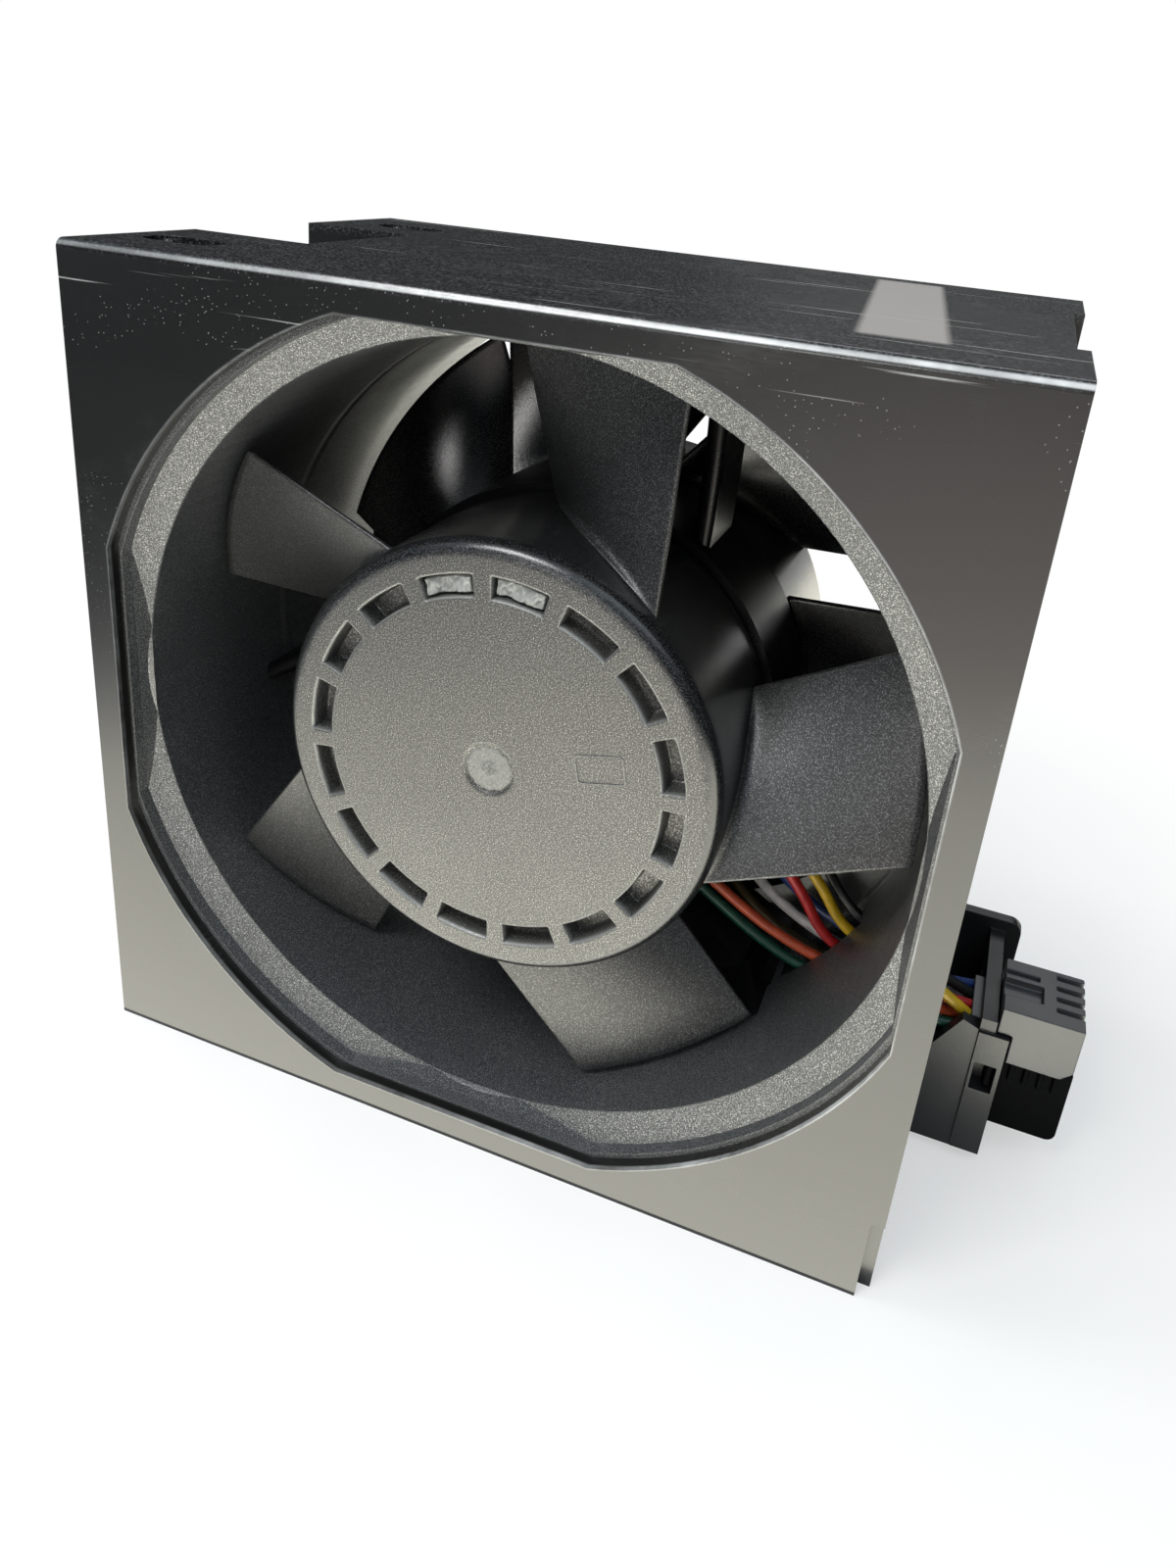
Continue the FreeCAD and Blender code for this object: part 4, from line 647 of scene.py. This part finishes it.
def blade(fan, index):
    """Blade section carried from hub to tip; its leading and trailing edges are straight lines.

    Each section is a closed loop: the mean line runs from leading to trailing edge, bowed towards the
    inlet, and the skins stand half the thickness to each side of it, round at both edges.
    """
    count, lead_hub, lead_tip, trail_hub, trail_tip = BLADES[fan.name]
    root = [31.6, 32.5, 32.7, 33.0, 33.4, 34.0]
    radius = np.concatenate([root, np.linspace(35, TIP_RADIUS - 0.12, 22), [TIP_RADIUS]])
    loop = np.linspace(0, 2 * math.pi, 72, endpoint=False)
    chord = 0.5 - 0.5 * np.cos(loop)
    side = np.where(loop < math.pi, 1.0, -1.0)
    span = (radius - HUB_RADIUS) / (TIP_RADIUS - HUB_RADIUS)
    (lead_r, lead_turn, lead_depth), (trail_r, trail_turn, trail_depth) = (
        straight_edge(span, hub_end, tip_end) for hub_end, tip_end in ((lead_hub, lead_tip), (trail_hub, trail_tip)))
    c = np.repeat(chord[None, :], len(radius), axis=0)
    span = span[:, None]
    r = lead_r[:, None] * (1 - c) + trail_r[:, None] * c
    lead_turn, lead_depth = lead_turn[:, None], lead_depth[:, None]
    sweep = trail_turn[:, None] - lead_turn
    drop = trail_depth[:, None] - lead_depth
    bow = BLADE_BOW - BLADE_BOW * span
    angle = lead_turn + sweep * c
    depth = lead_depth + drop * (c - bow * c * (1 - c))
    arc = np.radians(sweep) * r
    fall = drop * (1 - bow * (1 - 2 * c))
    length = np.hypot(arc, fall)
    swell = BLADE_THICKNESS - BLADE_THINNING * span - BLADE_EDGE
    from_edge = np.clip(np.minimum(c, 1 - c) / EDGE_ROUNDING, 0, 1)
    round_off = np.sqrt(np.clip(1 - (1 - from_edge) ** 2, 0, 1))
    flare = ROOT_FLARE * np.exp(-np.clip(r - HUB_RADIUS, 0, None) / ROOT_REACH)
    half = side * ((BLADE_EDGE + swell * 4 * c * (1 - c)) / 2 * round_off + flare * 4 * c * (1 - c))
    half = np.where(span >= 1.0, half * 0.72, half)
    angle = angle + np.degrees(-half * fall / length / r) + 360.0 / count * index
    depth = depth + half * arc / length
    rings = fan.polar(r, angle, depth)
    cap = (rings[-1] + np.roll(rings[-1][::-1], 1, axis=0)) / 2
    rings = np.concatenate([rings, cap[None]])
    return rings, grid_faces(len(rings), len(loop))


def impeller(fan):
    """Hub and blades of one rotor, as one moulding."""
    hub_place, hub_quads, hub_zone = hub(fan)
    blades = [blade(fan, index) for index in range(BLADES[fan.name][0])]
    satin = 0.5 if fan is FRONT else 1.0
    zones = [hub_zone] + [np.full(place.shape[:2], satin) for place, quads in blades]
    piece = make_piece(fan.name + "_rotor_moulding", fan.body,
                       [(hub_place, hub_quads)] + blades, FINISHES["rotor"], zones)
    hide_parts(fan.name + "_impeller")


def gate_scar(fan):
    """Broken-off gate at the hub's middle: a paler disc with a wavy edge and a crumbled nub.

    The height is a few sine waves over the disc, and much steeper ones inside the nub's radius.
    """
    radius = np.linspace(0.0, 1.0, 30)
    turn = np.linspace(0, 360, 120, endpoint=False)
    share, angle = np.meshgrid(radius, turn, indexing="ij")
    wave = np.radians(angle)
    edge = 3.45 + 0.1 * np.sin(11 * wave) + 0.07 * np.sin(17 * wave + 1.0)
    r = share * edge
    x, z = r * np.cos(wave), r * np.sin(wave)
    nub = 1.0 - step(r, 0.9, 1.35)
    crumb = np.sin(9 * x + 2) * np.sin(8 * z) + 0.6 * np.sin(15 * x + 7 * z) + 0.5 * np.sin(21 * z - 5 * x)
    soft = 0.02 * np.sin(2.1 * x + 1) * np.sin(1.9 * z)
    depth = HUB_FACE + 0.22 - soft - nub * (0.1 + 0.07 * crumb) + 0.2 * step(share, 0.93, 1.0)
    make_piece(fan.name + "_gate_scar", fan.body,
               [(fan.stand(x, depth, z), grid_faces(len(radius), len(turn)))], FINISHES["scar"])


def blank_insert(fan):
    """Blank rectangular tool mark on the hub's face: a low raised line.

    The line follows a superellipse, half the width and height times the cosine and sine to a small
    power, and each of its rings is that outline at one scale and one lift.
    """
    middle_x, middle_z, lean = 15.9, 4.5, math.radians(13)
    half_width, half_height, power = 3.5, 2.1, 0.16
    turn = np.linspace(0, 2 * math.pi, 96, endpoint=False)
    along = half_width * np.sign(np.cos(turn)) * np.abs(np.cos(turn)) ** power
    beside = half_height * np.sign(np.sin(turn)) * np.abs(np.sin(turn)) ** power
    outline_x = along * math.cos(lean) - beside * math.sin(lean)
    outline_z = along * math.sin(lean) + beside * math.cos(lean)
    rings = [(1.0, 0.05), (0.985, -0.12), (0.96, -0.17), (0.94, -0.12), (0.925, 0.05)]
    # The middle rings take the lip zone: the raised line is painted lighter, as wear and painted highlight.
    edge_highlight_and_wear = np.repeat(np.array([0.0, -0.7, -0.8, -0.7, 0.0])[:, None], len(turn), axis=1)
    x = np.stack([middle_x + outline_x * scale for scale, lift in rings])
    z = np.stack([middle_z + outline_z * scale for scale, lift in rings])
    depth = np.stack([np.full(len(turn), HUB_FACE + lift) for scale, lift in rings])
    make_piece(fan.name + "_blank_insert", fan.body,
               [(fan.stand(x, depth, z), grid_faces(len(rings), len(turn)))], FINISHES["rotor"], [edge_highlight_and_wear])


def putty():
    """Crumpled balancing putty in two pockets: a grid in radius and angle, wrinkled by crossed waves."""
    inner, outer, side = (25.0, 25.25), (27.45, 27.7), (7.3, 7.9)
    radii, turns = np.linspace(inner[0], outer[1], 28), np.linspace(-side[1], side[1], 110)
    r, angle = np.meshgrid(radii, turns, indexing="ij")
    inside = step(r, *inner) * (1 - step(r, *outer)) * (1 - step(np.abs(angle), *side))
    grids = []
    for number in (3, 4):
        middle = POCKET_FIRST + POCKET_PITCH * number
        fold = (np.sin(1.7 * r + 0.6 * angle + number) + 0.7 * np.sin(2.6 * r - 1.1 * angle)
                + 1.1 * np.abs(np.sin(1.1 * angle + 2.3 * r)) ** 0.4 + 0.3 * np.sin(2.9 * angle + number))
        depth = HUB_FACE + 3.2 - inside * (2.3 + 0.16 * fold + 0.25 * np.sin(0.35 * angle + number))
        grids.append((FRONT.polar(r, angle + middle, depth), grid_faces(len(radii), len(turns), closed=False)))
    piece = make_piece("putty_fill", "front_rotor", grids, FINISHES["putty"])
    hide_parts("balance_putty")


# ---------------------------------------------------------------- stage, light and camera

def stage_mesh(name, points, faces):
    mesh = bpy.data.meshes.new(name)
    mesh.from_pydata(points, [], faces)
    piece = bpy.data.objects.new(name, mesh)
    bpy.context.scene.collection.objects.link(piece)
    return piece


def floor():
    """Pale sheet under the module; away from the module's shadow the camera sees it plain white."""
    reach = 3.0
    points = [(-reach, -reach, 0), (reach, -reach, 0), (reach, reach, 0), (-reach, reach, 0)]
    piece = stage_mesh("floor", points, [(0, 1, 2, 3)])
    shade = Shader("floor_paper")
    speckle = shade.noise(shade.place(), 40.0, 3.0)
    shade.set(Base_Color=shade.mix(shade.ramp(speckle, 0.3, 0.7), (0.80, 0.79, 0.77), (0.84, 0.83, 0.81)),
              Roughness=0.9)
    distance = shade.node("ShaderNodeVectorMath")
    distance.operation = "LENGTH"
    shade.feed(shade.place(), distance.inputs[0])
    away = shade.ramp(distance.outputs["Value"], 0.09, 0.2, 0.5, 1.0)
    y = shade.split(shade.place())[1]
    path = shade.node("ShaderNodeLightPath").outputs
    behind = shade.times(shade.ramp(y, 0.12, 0.18), path["Is Glossy Ray"])
    white = shade.math("MAXIMUM", shade.times(away, path["Is Camera Ray"]), behind)
    shade.show(shade.blend(white, shade.surface, shade.node("ShaderNodeEmission")))
    wear(piece, shade.material)


def world():
    """Low, even surroundings; the camera sees plain white, and so do reflections that look behind the module."""
    sky = bpy.data.worlds.new("studio")
    sky.use_nodes = True
    sky.node_tree.nodes.clear()
    bpy.context.scene.world = sky
    shade = Tree(sky.node_tree)
    _, y, z = shade.split(shade.coordinates("Generated"))
    strength = shade.times(shade.ramp(z, 0.3, 0.8, 0.05, 1.3), shade.ramp(y, 0.4, -0.2, 0.15))
    room = shade.node("ShaderNodeBackground", Color=(0.76, 0.9, 1.0), Strength=strength)
    backdrop = shade.node("ShaderNodeBackground", Color=(1.0, 1.0, 1.0), Strength=1.0)
    path = shade.node("ShaderNodeLightPath").outputs
    behind = shade.times(shade.ramp(z, 0.05, 0.0), shade.ramp(y, 0.25, 0.7))
    white = shade.math("MAXIMUM", path["Is Camera Ray"], shade.times(path["Is Glossy Ray"], behind))
    shade.node("ShaderNodeOutputWorld", Surface=shade.blend(white, room, backdrop))


def soft_light(name, place, target, width, height, power, colour=(1.0, 1.0, 1.0)):
    """Rectangular soft light aimed at a point."""
    lamp = bpy.data.lights.new(name, "AREA")
    lamp.shape = "RECTANGLE"
    lamp.size = width
    lamp.size_y = height
    lamp.energy = power
    lamp.color = colour
    holder = bpy.data.objects.new(name, lamp)
    bpy.context.scene.collection.objects.link(holder)
    aim = (Vector(target) - Vector(place)).to_track_quat("-Z", "Y")
    holder.location = place
    holder.rotation_euler = aim.to_euler()


def lights():
    middle = (0.0, 0.0, AXIS_Z)
    soft_light("key", (-0.22, -0.44, 0.66), middle, 0.3, 0.2, 3.4, (1.0, 0.99, 0.97))
    soft_light("front", (-0.08, -0.77, 0.3), middle, 0.16, 0.1, 0.9, (1.0, 0.99, 0.97))
    soft_light("top", (-0.3, 0.0, 0.76), middle, 0.34, 0.2, 3.0)
    soft_light("fill", (0.42, -0.32, 0.72), middle, 0.45, 0.45, 0.6, (0.88, 0.95, 1.0))
    soft_light("back", (0.1, 0.7, 0.6), middle, 0.6, 0.4, 0.9)


def bounce_card():
    """Bright sheets lying before and behind the module, seen only in reflections; they fade outwards."""
    lift = 0.0005
    corners = [(-0.8, -1.2), (0.5, -1.2), (0.5, -0.0421), (0.0745, -0.0421), (-0.8, -0.0421), (0.5, -0.031),
               (0.0745, -0.031), (-0.6, 0.06), (0.6, 0.06), (0.6, 0.7), (-0.6, 0.7)]
    piece = stage_mesh("bounce_card", [(x, y, lift) for x, y in corners],
                       [(0, 1, 2, 3, 4), (3, 2, 5, 6), (7, 8, 9, 10)])
    shade = Shader("bounce_glow")
    x, y, _ = shade.split(shade.place())
    beyond = shade.math("ADD", y, shade.times(x, 0.42))
    close = shade.times(shade.ramp(beyond, -0.225, -0.155), shade.ramp(x, -0.2, -0.12))
    far = shade.times(shade.ramp(x, -0.25, -0.02, 0.15, 2.0), shade.ramp(y, -1.1, -0.4, 0.5, 1.0))
    far_colour = shade.mix(shade.ramp(x, -0.3, 0.0), (0.82, 0.93, 1.0), (1.0, 0.9, 0.85))
    warm = shade.math("MAXIMUM", close, shade.ramp(y, 0.0, 0.05))
    near = shade.math("ADD", shade.times(close, shade.ramp(x, -0.1, 0.06, 3.3, 4.2)), far)
    front = shade.times(near, shade.ramp(y, 0.0, 0.03, 1.0, 0.0))
    rear = shade.times(shade.ramp(y, 0.12, 0.19), 2.4)
    glow = shade.node("ShaderNodeEmission", Color=shade.mix(warm, far_colour, (1.0, 0.985, 0.86)),
                      Strength=shade.math("ADD", front, rear))
    backs = shade.node("ShaderNodeNewGeometry").outputs["Backfacing"]
    shade.show(shade.blend(backs, glow, shade.node("ShaderNodeBsdfTransparent")))
    wear(piece, shade.material)
    piece.visible_camera = False
    piece.visible_diffuse = False
    piece.visible_shadow = False


def camera():
    """Camera close to the inlet, above and right of the module's middle."""
    lens = bpy.data.cameras.new("camera")
    lens.lens = 26.27
    lens.sensor_width = 36.0
    lens.shift_x = -0.002
    lens.shift_y = -0.1135
    lens.clip_start = 0.005
    holder = bpy.data.objects.new("camera", lens)
    bpy.context.scene.collection.objects.link(holder)
    ahead = Vector((-0.30434715, 0.87458206, -0.37746396)).normalized()
    upward = Vector((-0.20824254, 0.32558955, 0.92229415)).normalized()
    side = ahead.cross(upward).normalized()
    turn = Matrix((side, side.cross(ahead), -ahead)).transposed()
    holder.matrix_world = Matrix.Translation((0.05578, -0.16134, 0.14348)) @ turn.to_4x4()
    bpy.context.scene.camera = holder


# ---------------------------------------------------------------- the module

camera()
world()
lights()
floor()
bounce_card()
dress_nodes()
for node_name in SOFT_EDGES:
    softened(node_name)
for fan in (FRONT, REAR):
    impeller(fan)
    gate_scar(fan)
blank_insert(FRONT)
putty()
bpy.context.scene.view_settings.view_transform = "Standard"
